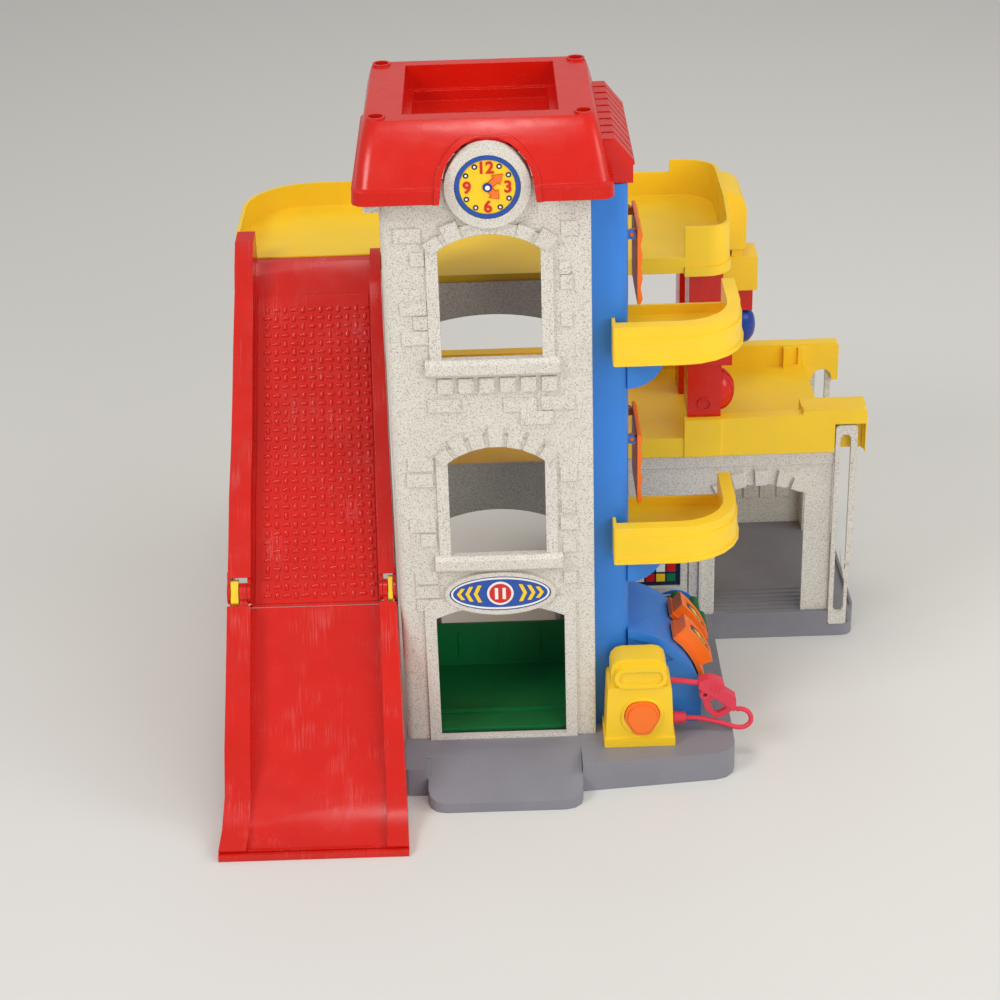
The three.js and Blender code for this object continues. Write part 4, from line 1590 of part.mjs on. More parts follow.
const parts = [
  ['base_front', baseFront(), GREY], ['base_rear', baseRear(), GREY],
  ['tower_facade', towerFacade(), STONE], ['tower_back', towerBack(), STONE],
  ['tower_side', towerSide(), BLUE],
  ['clock_dial', clockDial(), YELLOW], ['sign_plate', signPlate(), BLUE], ['roof', roof(), RED],
  ['balcony_upper', balcony(0), YELLOW], ['balcony_lower', balcony(-LEVELS), YELLOW],
  ['deck_upper', deckUpper(), YELLOW], ['deck_mid', deckMid(), YELLOW],
  ['chute_peg', chutePeg(), RED], ['chute_knob', chuteKnob(), NAVY],
  ['post_front', postFront(), RED], ['post_rear', postRear(), RED],
  ['low_front', lowFront(), STONE], ['low_back', lowBack(), STONE], ['picture_panel', picturePanel(), NAVY],
  ['slot_plate_front', slotPlate(PLATE.front), STONE], ['slot_plate_rear', slotPlate(PLATE.rear), STONE],
  ['ramp_upper', rampUpper(), RED], ['ramp_lower', rampLower(), RED],
  ['ramp_latch_left', rampLatch(-1), YELLOW], ['ramp_latch_right', rampLatch(1), YELLOW],
  ['lift_guide', liftGuide(), GREY], ['lift_pulley', liftPulley(), STEEL], ['lift_car', liftCar(), GREEN],
  ['lift_line', liftLine(), CORD_WHITE], ['lift_line_return', liftLineReturn(), CORD_WHITE],
  ['winding_wheel', windingWheel(), GREEN], ['winding_spool', windingSpool(), BLUE],
  ['wheel_stand', wheelStand(), BLUE],
  ['lever_front', lever(0), ORANGE], ['lever_rear', lever(1), ORANGE], ['lever_shaft', leverShaft(), STEEL],
  ['gate_upper', gate(0), ORANGE], ['gate_lower', gate(-LEVELS), ORANGE],
  ['pump_body', pumpBody(), YELLOW], ['pump_button', pumpButton(), ORANGE],
  ['hose_collar', hoseCollar(), PINK],
  ['pump_hose', pumpHose(), PINK], ['pump_nozzle', pumpNozzle(), PINK],
];
parts.forEach(([name, solid, look]) => garage.add(meshOf(name, solid, look)));

export default garage;
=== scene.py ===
"""Toy parking garage with lift: finishes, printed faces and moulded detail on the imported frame, in metres."""
import logging
import math
from collections.abc import Callable, Iterable, Sequence
from dataclasses import dataclass
from enum import Enum
from functools import partial

import bmesh
import bpy
from mathutils import Matrix, Vector


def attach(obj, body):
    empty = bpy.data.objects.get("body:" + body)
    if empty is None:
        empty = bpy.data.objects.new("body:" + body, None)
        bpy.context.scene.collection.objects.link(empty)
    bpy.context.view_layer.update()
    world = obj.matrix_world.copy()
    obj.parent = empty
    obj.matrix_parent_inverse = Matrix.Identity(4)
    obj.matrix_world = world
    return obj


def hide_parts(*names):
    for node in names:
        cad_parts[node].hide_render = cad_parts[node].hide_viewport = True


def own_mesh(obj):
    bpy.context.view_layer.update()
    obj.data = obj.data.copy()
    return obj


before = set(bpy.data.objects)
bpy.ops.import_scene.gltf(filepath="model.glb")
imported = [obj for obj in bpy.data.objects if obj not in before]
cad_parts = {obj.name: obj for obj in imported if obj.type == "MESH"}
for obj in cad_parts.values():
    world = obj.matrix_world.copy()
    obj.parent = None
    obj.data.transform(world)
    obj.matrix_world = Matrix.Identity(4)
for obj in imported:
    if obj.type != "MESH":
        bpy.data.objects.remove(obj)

logging.basicConfig(level=logging.INFO, format="%(message)s")
log = logging.getLogger("garage")
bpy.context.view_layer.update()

Pair = tuple[float, float]
Point = tuple[float, float, float]
Socket = bpy.types.NodeSocket
Tree = bpy.types.NodeTree
Draft = bmesh.types.BMesh
Filler = Callable[[Draft], None]

MM = 0.001
STILL = "garage"  # the body that carries everything that doesn't move
MERGE = 1e-6  # metres: points nearer than this are one
NODE_MERGE = 10 * MERGE  # the same for the loose triangles of a CAD node
EASED_EDGE = math.radians(40)  # edges sharper than this are rounded
# A Mix node's sockets by number, because several of them share a name.
SHARE, COLOUR_A, COLOUR_B, COLOUR_OUT = 0, 6, 7, 2
VECTOR_A, VECTOR_B, VECTOR_OUT = 4, 5, 1


def mm(*lengths: float) -> Vector:
    """A point or direction given in millimetres, in metres."""
    return Vector([length * MM for length in lengths])


def linear(colour: str) -> tuple[float, float, float, float]:
    """An sRGB hex colour as linear red, green, blue and alpha."""
    shares = [int(colour[i:i + 2], 16) / 255 for i in (1, 3, 5)]
    return (*(s / 12.92 if s <= 0.04045 else ((s + 0.055) / 1.055) ** 2.4 for s in shares), 1.0)


def feed(node: bpy.types.Node, values: dict) -> None:
    """Sets or links inputs of a node.

    Args:
        node: the node.
        values: input names or numbers with a value, or with the output that feeds them.
    """
    for key, value in values.items():
        if isinstance(value, Socket):
            node.id_data.links.new(value, node.inputs[key])
        else:
            node.inputs[key].default_value = value


def add_node(tree: Tree, kind: str, values: dict | None = None, **settings: object) -> bpy.types.Node:
    """Adds a node with its settings, and sets or links its inputs.

    Args:
        tree: the node tree that it goes into.
        kind: the node's Blender type.
        values: input names or numbers with a value, or with the output that feeds them.
        settings: the node's own properties.

    Returns:
        The new node.
    """
    node = tree.nodes.new(kind)
    for name, value in settings.items():
        setattr(node, name, value)
    feed(node, values or {})
    return node


# Finishes


class Resin(Enum):
    """The plastics of the garage, each with its index of refraction."""

    ABS = 1.54
    POLYPROPYLENE = 1.49
    VINYL = 1.53


@dataclass(frozen=True)
class Finish:
    """What every finish has: a name, a colour, and one material that is built on its first use."""

    name: str
    colour: str

    def material(self) -> bpy.types.Material:
        """Builds the material once and hands it out again after that.

        Returns:
            The node material of this finish.
        """
        known = bpy.data.materials.get(self.name)
        if known:
            return known
        made = bpy.data.materials.new(self.name)
        made.use_nodes = True
        tree = made.node_tree
        where = add_node(tree, "ShaderNodeTexCoord").outputs["Object"]
        feed(tree.nodes["Principled BSDF"], self.look(tree, where))
        return made

    def look(self, tree: Tree, where: Socket) -> dict:
        """The shader's inputs for this finish, each with its value or its output.

        Args:
            tree: the material's node tree.
            where: the coordinates on the piece.

        Returns:
            The values by the name of the shader's input.
        """
        raise NotImplementedError


@dataclass(frozen=True)
class Speckle:
    """Dark and light grains mixed into a stone-look compound.

    Each layer has its size over the grain's, the noise where it starts and how soft it ends.
    """

    dark: str
    light: str
    grain_mm: float
    share: float
    cover: float = 0.85
    fine: Point = (1.0, 0.5, 0.1)
    pale: Point = (1.3, 0.52, 0.08)
    coarse: Point = (1.9, 0.61, 0.06)

    def layers(self) -> list[tuple[str, float, float, float]]:
        """Each layer's colour, its grain in millimetres, the noise where it starts and how soft it ends."""
        return [(tone, self.grain_mm * size, start + self.share, soft) for tone, (size, start, soft) in
                ((self.dark, self.fine), (self.light, self.pale), (self.dark, self.coarse))]


@dataclass(frozen=True)
class Scuff:
    """Fine pale rub marks that run along one direction of a piece."""

    direction: Point
    width_mm: float
    length_mm: float
    share: float
    strength: float = 0.07
    colour: str = "#F1EDEC"
    breadth: float = 6.0  # how many times broader than thick a mark is
    start: float = 0.36  # the noise where a mark begins, and where it is strongest, without the share
    full: float = 0.52

    def stretch(self) -> Point:
        """The scale that draws a noise out into marks along its own Z."""
        return 1 / (self.width_mm * MM), 1 / (self.width_mm * self.breadth * MM), 1 / (self.length_mm * MM)


@dataclass(frozen=True)
class Moulding(Finish):
    """An injection-moulded plastic with the grain that its tool left on it."""

    resin: Resin = Resin.ABS
    roughness: float = 0.34
    grain_mm: float = 0.7  # coarser than a real etch, which wouldn't show
    grain_depth_mm: float = 0.012
    flow_mm: float = 46.0
    flow: float = 0.05
    edge_mm: float = 0.7
    # edges pale towards this colour: partly wear, partly a painted highlight where edges catch light
    edge_wear_and_highlight: float = 0.35
    edge_wear_and_highlight_colour: str = "#FFFBF3"
    specular: float = 0.4
    speckle: Speckle | None = None
    scuff: Scuff | None = None
    edge_wear_and_highlight_cosines: Pair = (0.98, 0.75)  # cosines of the edge's rounding where the paling by wear and painted highlight starts and where it is full
    patches: float = 3.0  # rubbed patches in the length of one flow
    rubbed: Pair = (0.85, 1.35)  # the roughness of the glossiest and the dullest patch over the plain one

    def look(self, tree: Tree, where: Socket) -> dict:
        """The moulding's colour with its wear and its painted edge highlight, its patchy roughness and its tool
        grain.

        Args:
            tree: the material's node tree.
            where: the coordinates on the piece.

        Returns:
            The values by the name of the shader's input.
        """
        bevel = add_node(tree, "ShaderNodeBevel", {"Radius": self.edge_mm * MM}, samples=4)
        rounded = bevel.outputs["Normal"]
        colour = self.flowed(tree, where)
        if self.speckle:
            colour = self.speckled(tree, where, colour)
        if self.scuff:
            colour = self.scuffed(tree, where, colour)
        grain = add_node(tree, "ShaderNodeTexNoise", {
            "Vector": where, "Scale": 1 / (self.grain_mm * MM), "Detail": 2.0})
        bump = add_node(tree, "ShaderNodeBump", {
            "Distance": self.grain_depth_mm * MM, "Height": grain.outputs[0], "Normal": rounded})
        # base colour with its edges paled partly by wear and partly by painted highlight
        return {"Base Color": self.worn_and_highlighted(tree, rounded, colour), "Roughness": self.rough(tree, where),
                "Normal": bump.outputs[0], "IOR": self.resin.value, "Specular IOR Level": self.specular}

    def flowed(self, tree: Tree, where: Socket) -> Socket:
        """The base colour with the slow light and dark flow of a large moulding.

        Args:
            tree: the material's node tree.
            where: the coordinates on the piece.

        Returns:
            The colour output.
        """
        flow = add_node(tree, "ShaderNodeTexNoise", {
            "Vector": where, "Scale": 1 / (self.flow_mm * MM), "Detail": 3.0})
        value = add_node(tree, "ShaderNodeMapRange", {
            "Value": flow.outputs[0], "From Min": 0.3, "From Max": 0.7,
            "To Min": 1 - self.flow, "To Max": 1 + self.flow})
        return add_node(tree, "ShaderNodeHueSaturation", {
            "Value": value.outputs[0], "Color": linear(self.colour)}).outputs[0]

    def speckled(self, tree: Tree, where: Socket, colour: Socket) -> Socket:
        """Mixes dark and light grains into a colour.

        Args:
            tree: the material's node tree.
            where: the coordinates on the piece.
            colour: the colour between the grains.

        Returns:
            The colour output.
        """
        for tone, size, start, soft in self.speckle.layers():
            noise = add_node(tree, "ShaderNodeTexNoise", {
                "Vector": where, "Scale": 1 / (size * MM), "Detail": 3.0, "Roughness": 0.7})
            mask = add_node(tree, "ShaderNodeMapRange", {
                "Value": noise.outputs[0], "From Min": start, "From Max": start + soft,
                "To Max": self.speckle.cover})
            colour = add_node(tree, "ShaderNodeMix", {
                SHARE: mask.outputs[0], COLOUR_A: colour, COLOUR_B: linear(tone)},
                data_type="RGBA").outputs[COLOUR_OUT]
        return colour

    def scuffed(self, tree: Tree, where: Socket, colour: Socket) -> Socket:
        """Mixes pale rub marks into a colour.

        Args:
            tree: the material's node tree.
            where: the coordinates on the piece.
            colour: the colour of the unmarked piece.

        Returns:
            The colour output.
        """
        marks = self.scuff
        turn = Vector(marks.direction).to_track_quat("Z", "Y").inverted().to_euler()
        aimed = add_node(tree, "ShaderNodeMapping", {"Vector": where, "Rotation": turn})
        drawn = add_node(tree, "ShaderNodeMapping", {"Vector": aimed.outputs[0], "Scale": marks.stretch()})
        lines = add_node(tree, "ShaderNodeTexNoise", {
            "Vector": drawn.outputs[0], "Scale": 1.0, "Detail": 2.0})
        patch = add_node(tree, "ShaderNodeTexNoise", {"Vector": where, "Scale": 1 / (marks.length_mm * MM)})
        both = add_node(tree, "ShaderNodeMath", {0: lines.outputs[0], 1: patch.outputs[0]},
                        operation="MULTIPLY")
        mask = add_node(tree, "ShaderNodeMapRange", {
            "Value": both.outputs[0], "From Min": marks.start - marks.share,
            "From Max": marks.full - marks.share, "To Max": marks.strength})
        return add_node(tree, "ShaderNodeMix", {
            SHARE: mask.outputs[0], COLOUR_A: colour, COLOUR_B: linear(marks.colour)},
            data_type="RGBA").outputs[COLOUR_OUT]

    def worn_and_highlighted(self, tree: Tree, rounded: Socket, colour: Socket) -> Socket:
        """Lightens a colour along the edges: partly wear, where handling polishes and pales it, and partly a
        painted highlight, where edges catch light.

        Args:
            tree: the material's node tree.
            rounded: the normal with its edges rounded.
            colour: the colour away from the edges.

        Returns:
            The colour output.
        """
        plain = add_node(tree, "ShaderNodeNewGeometry").outputs["Normal"]
        same = add_node(tree, "ShaderNodeVectorMath", {0: rounded, 1: plain}, operation="DOT_PRODUCT")
        # the pale edge band: partly wear, partly painted highlight
        start, full = self.edge_wear_and_highlight_cosines
        mask = add_node(tree, "ShaderNodeMapRange", {
            "Value": same.outputs["Value"], "From Min": start, "From Max": full, "To Max": self.edge_wear_and_highlight})
        return add_node(tree, "ShaderNodeMix", {
            SHARE: mask.outputs[0], COLOUR_A: colour, COLOUR_B: linear(self.edge_wear_and_highlight_colour)},
            data_type="RGBA", blend_type="SOFT_LIGHT").outputs[COLOUR_OUT]

    def rough(self, tree: Tree, where: Socket) -> Socket:
        """The roughness, duller in patches where hands and wheels have rubbed.

        Args:
            tree: the material's node tree.
            where: the coordinates on the piece.

        Returns:
            The roughness output.
        """
        glossy, dull = self.rubbed
        rub = add_node(tree, "ShaderNodeTexNoise", {
            "Vector": where, "Scale": 1 / (self.flow_mm * MM / self.patches), "Detail": 5.0})
        return add_node(tree, "ShaderNodeMapRange", {
            "Value": rub.outputs[0], "From Min": 0.35, "From Max": 0.7,
            "To Min": self.roughness * glossy, "To Max": self.roughness * dull}).outputs[0]


@dataclass(frozen=True)
class Print(Finish):
    """Screen ink on a thin vinyl film, with the faint tooth of the film under it."""

    roughness: float = 0.36
    tooth_mm: float = 0.5  # coarser than a real film's tooth, which wouldn't show
    tooth_depth_mm: float = 0.01
    mottle: Pair = (0.94, 1.06)  # the ink's darkest and palest value over the plain one

    def look(self, tree: Tree, where: Socket) -> dict:
        """An even colour over the film's tooth.

        Args:
            tree: the material's node tree.
            where: the coordinates on the piece.

        Returns:
            The values by the name of the shader's input.
        """
        tooth = add_node(tree, "ShaderNodeTexNoise", {
            "Vector": where, "Scale": 1 / (self.tooth_mm * MM), "Detail": 1.0})
        dark, pale = self.mottle
        value = add_node(tree, "ShaderNodeMapRange", {
            "Value": tooth.outputs[0], "To Min": dark, "To Max": pale})
        tinted = add_node(tree, "ShaderNodeHueSaturation", {
            "Value": value.outputs[0], "Color": linear(self.colour)})
        bump = add_node(tree, "ShaderNodeBump", {
            "Distance": self.tooth_depth_mm * MM, "Height": tooth.outputs[0]})
        return {"Base Color": tinted.outputs[0], "Normal": bump.outputs[0], "Roughness": self.roughness,
                "IOR": Resin.VINYL.value}


@dataclass(frozen=True)
class DrawnMetal(Finish):
    """Drawn or cut steel: fine lines along its length and a little tarnish."""

    roughness: float = 0.3
    line_mm: float = 0.4  # coarser than real drawn lines, which wouldn't show
    line_depth_mm: float = 0.01
    stretch: Point = (1.0, 0.05, 1.0)
    stain_mm: float = 5.5556
    lined: Pair = (0.7, 1.5)  # the roughness between the lines and on them over the plain one
    tarnish: Pair = (0.8, 1.05)  # the value of the darkest stain and of the clean metal over the plain one

    def look(self, tree: Tree, where: Socket) -> dict:
        """A stained metal with lines in its roughness and its surface.

        Args:
            tree: the material's node tree.
            where: the coordinates on the piece.

        Returns:
            The values by the name of the shader's input.
        """
        drawn = add_node(tree, "ShaderNodeMapping", {"Vector": where, "Scale": self.stretch})
        lines = add_node(tree, "ShaderNodeTexNoise", {
            "Vector": drawn.outputs[0], "Scale": 1 / (self.line_mm * MM)})
        between, along = self.lined
        rough = add_node(tree, "ShaderNodeMapRange", {
            "Value": lines.outputs[0], "To Min": self.roughness * between, "To Max": self.roughness * along})
        stain = add_node(tree, "ShaderNodeTexNoise", {"Vector": where, "Scale": 1 / (self.stain_mm * MM)})
        dark, bright = self.tarnish
        value = add_node(tree, "ShaderNodeMapRange", {
            "Value": stain.outputs[0], "To Min": dark, "To Max": bright})
        tinted = add_node(tree, "ShaderNodeHueSaturation", {
            "Value": value.outputs[0], "Color": linear(self.colour)})
        bump = add_node(tree, "ShaderNodeBump", {
            "Distance": self.line_depth_mm * MM, "Height": lines.outputs[0]})
        return {"Base Color": tinted.outputs[0], "Roughness": rough.outputs[0], "Normal": bump.outputs[0],
                "Metallic": 1.0}


@dataclass(frozen=True)
class BraidedNylon(Finish):
    """Braided nylon line: strands that cross it at a slant, with painted shade in the darker gaps between them.
    """

    # the colour of the gaps between strands: painted shade
    shade: str
    strand_mm: float = 0.8
    strand_depth_mm: float = 0.15
    slant: float = 38.0
    wander: float = 0.4
    roughness: float = 0.75
    fuzz: float = 0.2
    band: float = 0.314  # a wave texture at scale 1 repeats after this length

    def look(self, tree: Tree, where: Socket) -> dict:
        """Two sets of strands, the upper of which shows at each place, with painted shade in the gaps between
        them.

        Args:
            tree: the material's node tree.
            where: the coordinates on the piece.

        Returns:
            The values by the name of the shader's input.
        """
        strands = [add_node(tree, "ShaderNodeTexWave", {
            "Vector": add_node(tree, "ShaderNodeMapping", {
                "Vector": where, "Rotation": (0.0, math.radians(turn), 0.0)}).outputs[0],
            "Scale": self.band / (self.strand_mm * MM), "Distortion": self.wander},
            bands_direction="Z").outputs[1] for turn in (self.slant, -self.slant)]
        weave = add_node(tree, "ShaderNodeMath", dict(enumerate(strands)), operation="MAXIMUM").outputs[0]
        # painted shade in the gaps, the line's own colour on the strands
        colour = add_node(tree, "ShaderNodeMix", {
            SHARE: weave, COLOUR_A: linear(self.shade), COLOUR_B: linear(self.colour)},
            data_type="RGBA").outputs[COLOUR_OUT]
        bump = add_node(tree, "ShaderNodeBump", {"Distance": self.strand_depth_mm * MM, "Height": weave})
        return {"Base Color": colour, "Normal": bump.outputs[0], "Roughness": self.roughness,
                "Sheen Weight": self.fuzz}


# Stone-look ABS: a warm off-white compound full of brown and pale grains under a pitted, dull tool grain, with
# a fainter pale edge of wear and painted highlight.
STONE = Moulding("stone-look ABS, speckled compound", "#DFDACF", roughness=0.55, grain_mm=1.1,
                 grain_depth_mm=0.05, flow=0.03, edge_wear_and_highlight=0.25,
                 speckle=Speckle("#7D7366", "#F1EEE6", 0.8, 0.03))
# Gloss ABS from a polished tool: deep even red with clear highlights and fine handling marks.
ROOF_RED = Moulding("ABS, polished tool, red", "#D1190B", roughness=0.24, grain_mm=2.4, flow=0.04,
                    scuff=Scuff((1.0, 0.2, 0.1), 0.5, 14.0, -0.04, 0.05))
# Gloss ABS rubbed by wheels: the same red, greyed along the way that cars roll.
RAMP_RED = Moulding("ABS, rubbed by wheels, red", "#D31A0E", roughness=0.22, grain_mm=1.6,
                    scuff=Scuff((0.0, 0.66, 0.75), 0.9, 30.0, 0.05))
# Satin ABS: warm yellow with the even sheen of a finely etched tool.
YELLOW = Moulding("ABS, satin tool, yellow", "#FBD02A", roughness=0.36, grain_depth_mm=0.01, flow=0.035,
                  scuff=Scuff((1.0, 0.0, 0.1), 0.7, 18.0, -0.02))
# Satin ABS: mid blue, a little paler where it is handled.
BLUE = Moulding("ABS, satin tool, blue", "#3380DA", roughness=0.38,
                scuff=Scuff((0.0, 0.2, 1.0), 0.8, 24.0, -0.02))
# Gloss polypropylene: deep navy that catches a small sharp light on its round knob.
NAVY = Moulding("polypropylene, gloss, navy", "#123A94", Resin.POLYPROPYLENE, 0.28, grain_depth_mm=0.008)
# Satin polypropylene: dark leaf green with a waxy sheen.
GREEN = Moulding("polypropylene, satin, green", "#0C6E38", Resin.POLYPROPYLENE, 0.4, grain_mm=0.9,
                 grain_depth_mm=0.018)
# Grained ABS of the base plates: mid grey with a fine dull etch that hides dirt.
BASE_GREY = Moulding("ABS, fine etch, grey", "#87868E", roughness=0.46, grain_mm=0.8, grain_depth_mm=0.02,
                     scuff=Scuff((0.3, 1.0, 0.0), 0.9, 26.0, -0.01))
# Gloss ABS: strong warm orange with soft clear lights on its small rounded faces.
ORANGE = Moulding("ABS, gloss, orange", "#FF7820", roughness=0.32, grain_depth_mm=0.008, flow=0.03)
# Soft vinyl of the hose and nozzle: a warm rose with a soft, slightly waxy shine.
HOSE_PINK = Moulding("soft vinyl, rose", "#DE3A50", Resin.VINYL, 0.36, grain_mm=0.9, grain_depth_mm=0.01,
                     edge_mm=0.5)
# Zinc-plated steel: cool pale grey, with fine drawn lines and a little tarnish.
STEEL = DrawnMetal("zinc-plated steel", "#B9BCC0")
# Braided nylon: off-white crossing strands with painted shade between them, dull, with a soft fuzz at its edge.
LINE = BraidedNylon("braided nylon line", "#EDE8DA", "#A39C8A")
# Screen ink on vinyl film: flat, even colours with the faint tooth of the film.
INK_YELLOW = Print("vinyl print, yellow", "#FFD21F")
INK_BLUE = Print("vinyl print, blue", "#1F4FA8")
INK_RED = Print("vinyl print, red", "#D6221B")
INK_ORANGE = Print("vinyl print, orange", "#FA7A24")
INK_NAVY = Print("vinyl print, navy", "#14233F")
INK_WHITE = Print("vinyl print, white", "#F6F3EC")
INK_GREEN = Print("vinyl print, green", "#187C46")

NODE_FINISH: dict[Finish, tuple[str, ...]] = {
    STONE: ("tower_facade", "tower_back", "low_front", "low_back", "slot_plate_front", "slot_plate_rear"),
    ROOF_RED: ("roof", "post_front", "post_rear", "chute_peg"),
    RAMP_RED: ("ramp_upper", "ramp_lower"),
    YELLOW: ("balcony_upper", "balcony_lower", "deck_upper", "deck_mid", "pump_body", "ramp_latch_left",
             "ramp_latch_right"),
    BLUE: ("tower_side", "wheel_stand", "winding_spool"),
    NAVY: ("chute_knob",),
    GREEN: ("lift_car", "winding_wheel"),
    BASE_GREY: ("base_front", "base_rear", "lift_guide"),
    ORANGE: ("lever_front", "lever_rear", "gate_upper", "gate_lower", "pump_button"),
    HOSE_PINK: ("hose_collar", "pump_hose", "pump_nozzle"),
    STEEL: ("lever_shaft", "lift_pulley"),
    LINE: ("lift_line", "lift_line_return"),
    INK_YELLOW: ("clock_dial",),
    INK_BLUE: ("sign_plate",),
    INK_NAVY: ("picture_panel",),
}

# Making pieces


def linked(name: str, data: bpy.types.ID) -> bpy.types.Object:
    """Adds an object to the scene, at the origin.

    Args:
        name: its name.
        data: its mesh, curve, lamp or camera.

    Returns:
        The new object.
    """
    made = bpy.data.objects.new(name, data)
    bpy.context.scene.collection.objects.link(made)
    return made


def object_of(name: str, mesh: bpy.types.Mesh, finish: Finish, smooth: float = 35.0) -> bpy.types.Object:
    """Puts a mesh into the scene with one finish.

    Args:
        name: the piece's name.
        mesh: its mesh, with its place in its points.
        finish: what it is made of.
        smooth: the angle in degrees under which two faces shade as one surface.

    Returns:
        The piece's object.
    """
    mesh.materials.clear()
    mesh.materials.append(finish.material())
    mesh.shade_smooth()
    mesh.set_sharp_from_angle(angle=math.radians(smooth))
    return linked(name, mesh)


def put_on(piece: bpy.types.Object, body: str, slot: str, *replaced: str) -> bpy.types.Object:
    """Ties a finished piece to its body, hides the CAD nodes that it stands for, and reports it with its slot.

    Args:
        piece: the piece.
        body: the CAD body that carries it.
        slot: the record's material slot.
        replaced: the CAD nodes that it stands for.

    Returns:
        The same piece.
    """
    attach(piece, body)
    if replaced:
        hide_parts(*replaced)
    log.info("%s: %d faces on %s, %s", piece.name, len(piece.data.polygons), body, slot)
    return piece


def clean(bm: Draft, gap: float) -> None:
    """Merges the points that lie nearer than a gap, and turns the faces outwards."""
    bmesh.ops.remove_doubles(bm, verts=bm.verts, dist=gap)
    bmesh.ops.recalc_face_normals(bm, faces=bm.faces)


def mesh_of(name: str, fill: Filler, ease: float = 0.0) -> bpy.types.Mesh:
    """Makes a mesh by a function that fills a bmesh, with its faces turned outwards.

    Args:
        name: the mesh's name.
        fill: adds the geometry.
        ease: how far sharp edges are rounded, in metres.

    Returns:
        The mesh.
    """
    bm = bmesh.new()
    fill(bm)
    clean(bm, MERGE)
    if ease:
        sharp = [e for e in bm.edges if len(e.link_faces) == 2 and e.calc_face_angle(0) > EASED_EDGE]
        bmesh.ops.bevel(bm, geom=sharp, offset=ease, segments=2, affect="EDGES", profile=0.5)
    mesh = bpy.data.meshes.new(name)
    bm.to_mesh(mesh)
    bm.free()
    return mesh


def make_piece(name: str, fill: Filler, finish: Finish, body: str, slot: str, *replaced: str,
               ease: float = 0.0, smooth: float = 35.0) -> bpy.types.Object:
    """Makes a piece by a function that fills its mesh, and ties it to its body, reporting its slot.

    Args:
        name: the piece's name.
        fill: adds the geometry.
        finish: what it is made of.
        body: the CAD body that carries it.
        slot: the record's material slot.
        replaced: the CAD nodes that it stands for.
        ease: how far sharp edges are rounded, in metres.
        smooth: the angle in degrees under which two faces shade as one surface.

    Returns:
        The piece's object.
    """
    return put_on(object_of(name, mesh_of(name, fill, ease), finish, smooth), body, slot, *replaced)


def turns(sides: int) -> list[float]:
    """The angles of a circle's points, in radians."""
    return [math.tau * i / sides for i in range(sides)]


def plate(outline: Sequence[Vector], thickness: Vector, bm: Draft) -> None:
    """Adds a flat closed plate to a mesh in the making.

    Args:
        outline: its corners in order.
        thickness: the way from its back face to its front face.
        bm: the mesh that it goes into.
    """
    back = [bm.verts.new(p) for p in outline]
    front = [bm.verts.new(p + thickness) for p in outline]
    count = len(outline)
    bm.faces.new(back)
    bm.faces.new(front)
    for i in range(count):
        bm.faces.new((back[i], back[(i + 1) % count], front[(i + 1) % count], front[i]))


def band(low: Sequence[bmesh.types.BMVert], high: Sequence[bmesh.types.BMVert], bm: Draft) -> None:
    """Adds the faces between two closed rows with the same count of points."""
    for i in range(len(low)):
        bm.faces.new((low[i], low[(i + 1) % len(low)], high[(i + 1) % len(low)], high[i]))


def join_rings(rings: Sequence[Sequence[Vector]], bm: Draft) -> list[list[bmesh.types.BMVert]]:
    """Adds one closed skin through a row of rings with the same count of points.

    Args:
        rings: the rings in order, each a closed row of points.
        bm: the mesh that it goes into.

    Returns:
        The new points, ring by ring.
    """
    rows = [[bm.verts.new(point) for point in ring] for ring in rings]
    for low, high in zip(rows, rows[1:]):
        band(low, high, bm)
    bm.faces.new(rows[0])
    bm.faces.new(rows[-1])
    return rows


def raised_ring(centre: Vector, outer: float, inner: float, rise: float, bm: Draft, sides: int = 72,
                squeeze: float = 1.0) -> None:
    """Adds a raised ring on a face that looks to the front.

    Args:
        centre: its middle on the face.
        outer: its outer radius across.
        inner: its inner radius across.
        rise: how far it stands proud.
        bm: the mesh that it goes into.
        sides: facets round it.
        squeeze: its height over its width.
    """
    drop = outer * (1 - squeeze)
    rows = [[bm.verts.new(centre + Vector((radius * math.cos(a), -out, (radius - drop) * math.sin(a))))
             for a in turns(sides)] for radius, out in ((outer, 0), (outer, rise), (inner, rise), (inner, 0))]
    for low, high in zip(rows, rows[1:] + rows[:1]):
        band(low, high, bm)


def disc(centre: Vector, radius: float, rise: float, bm: Draft, sides: int = 32) -> None:
    """Adds a raised disc on a face that looks to the front."""
    rim = [centre + Vector((radius * math.cos(a), 0, radius * math.sin(a))) for a in turns(sides)]
    plate(rim, Vector((0, -rise, 0)), bm)


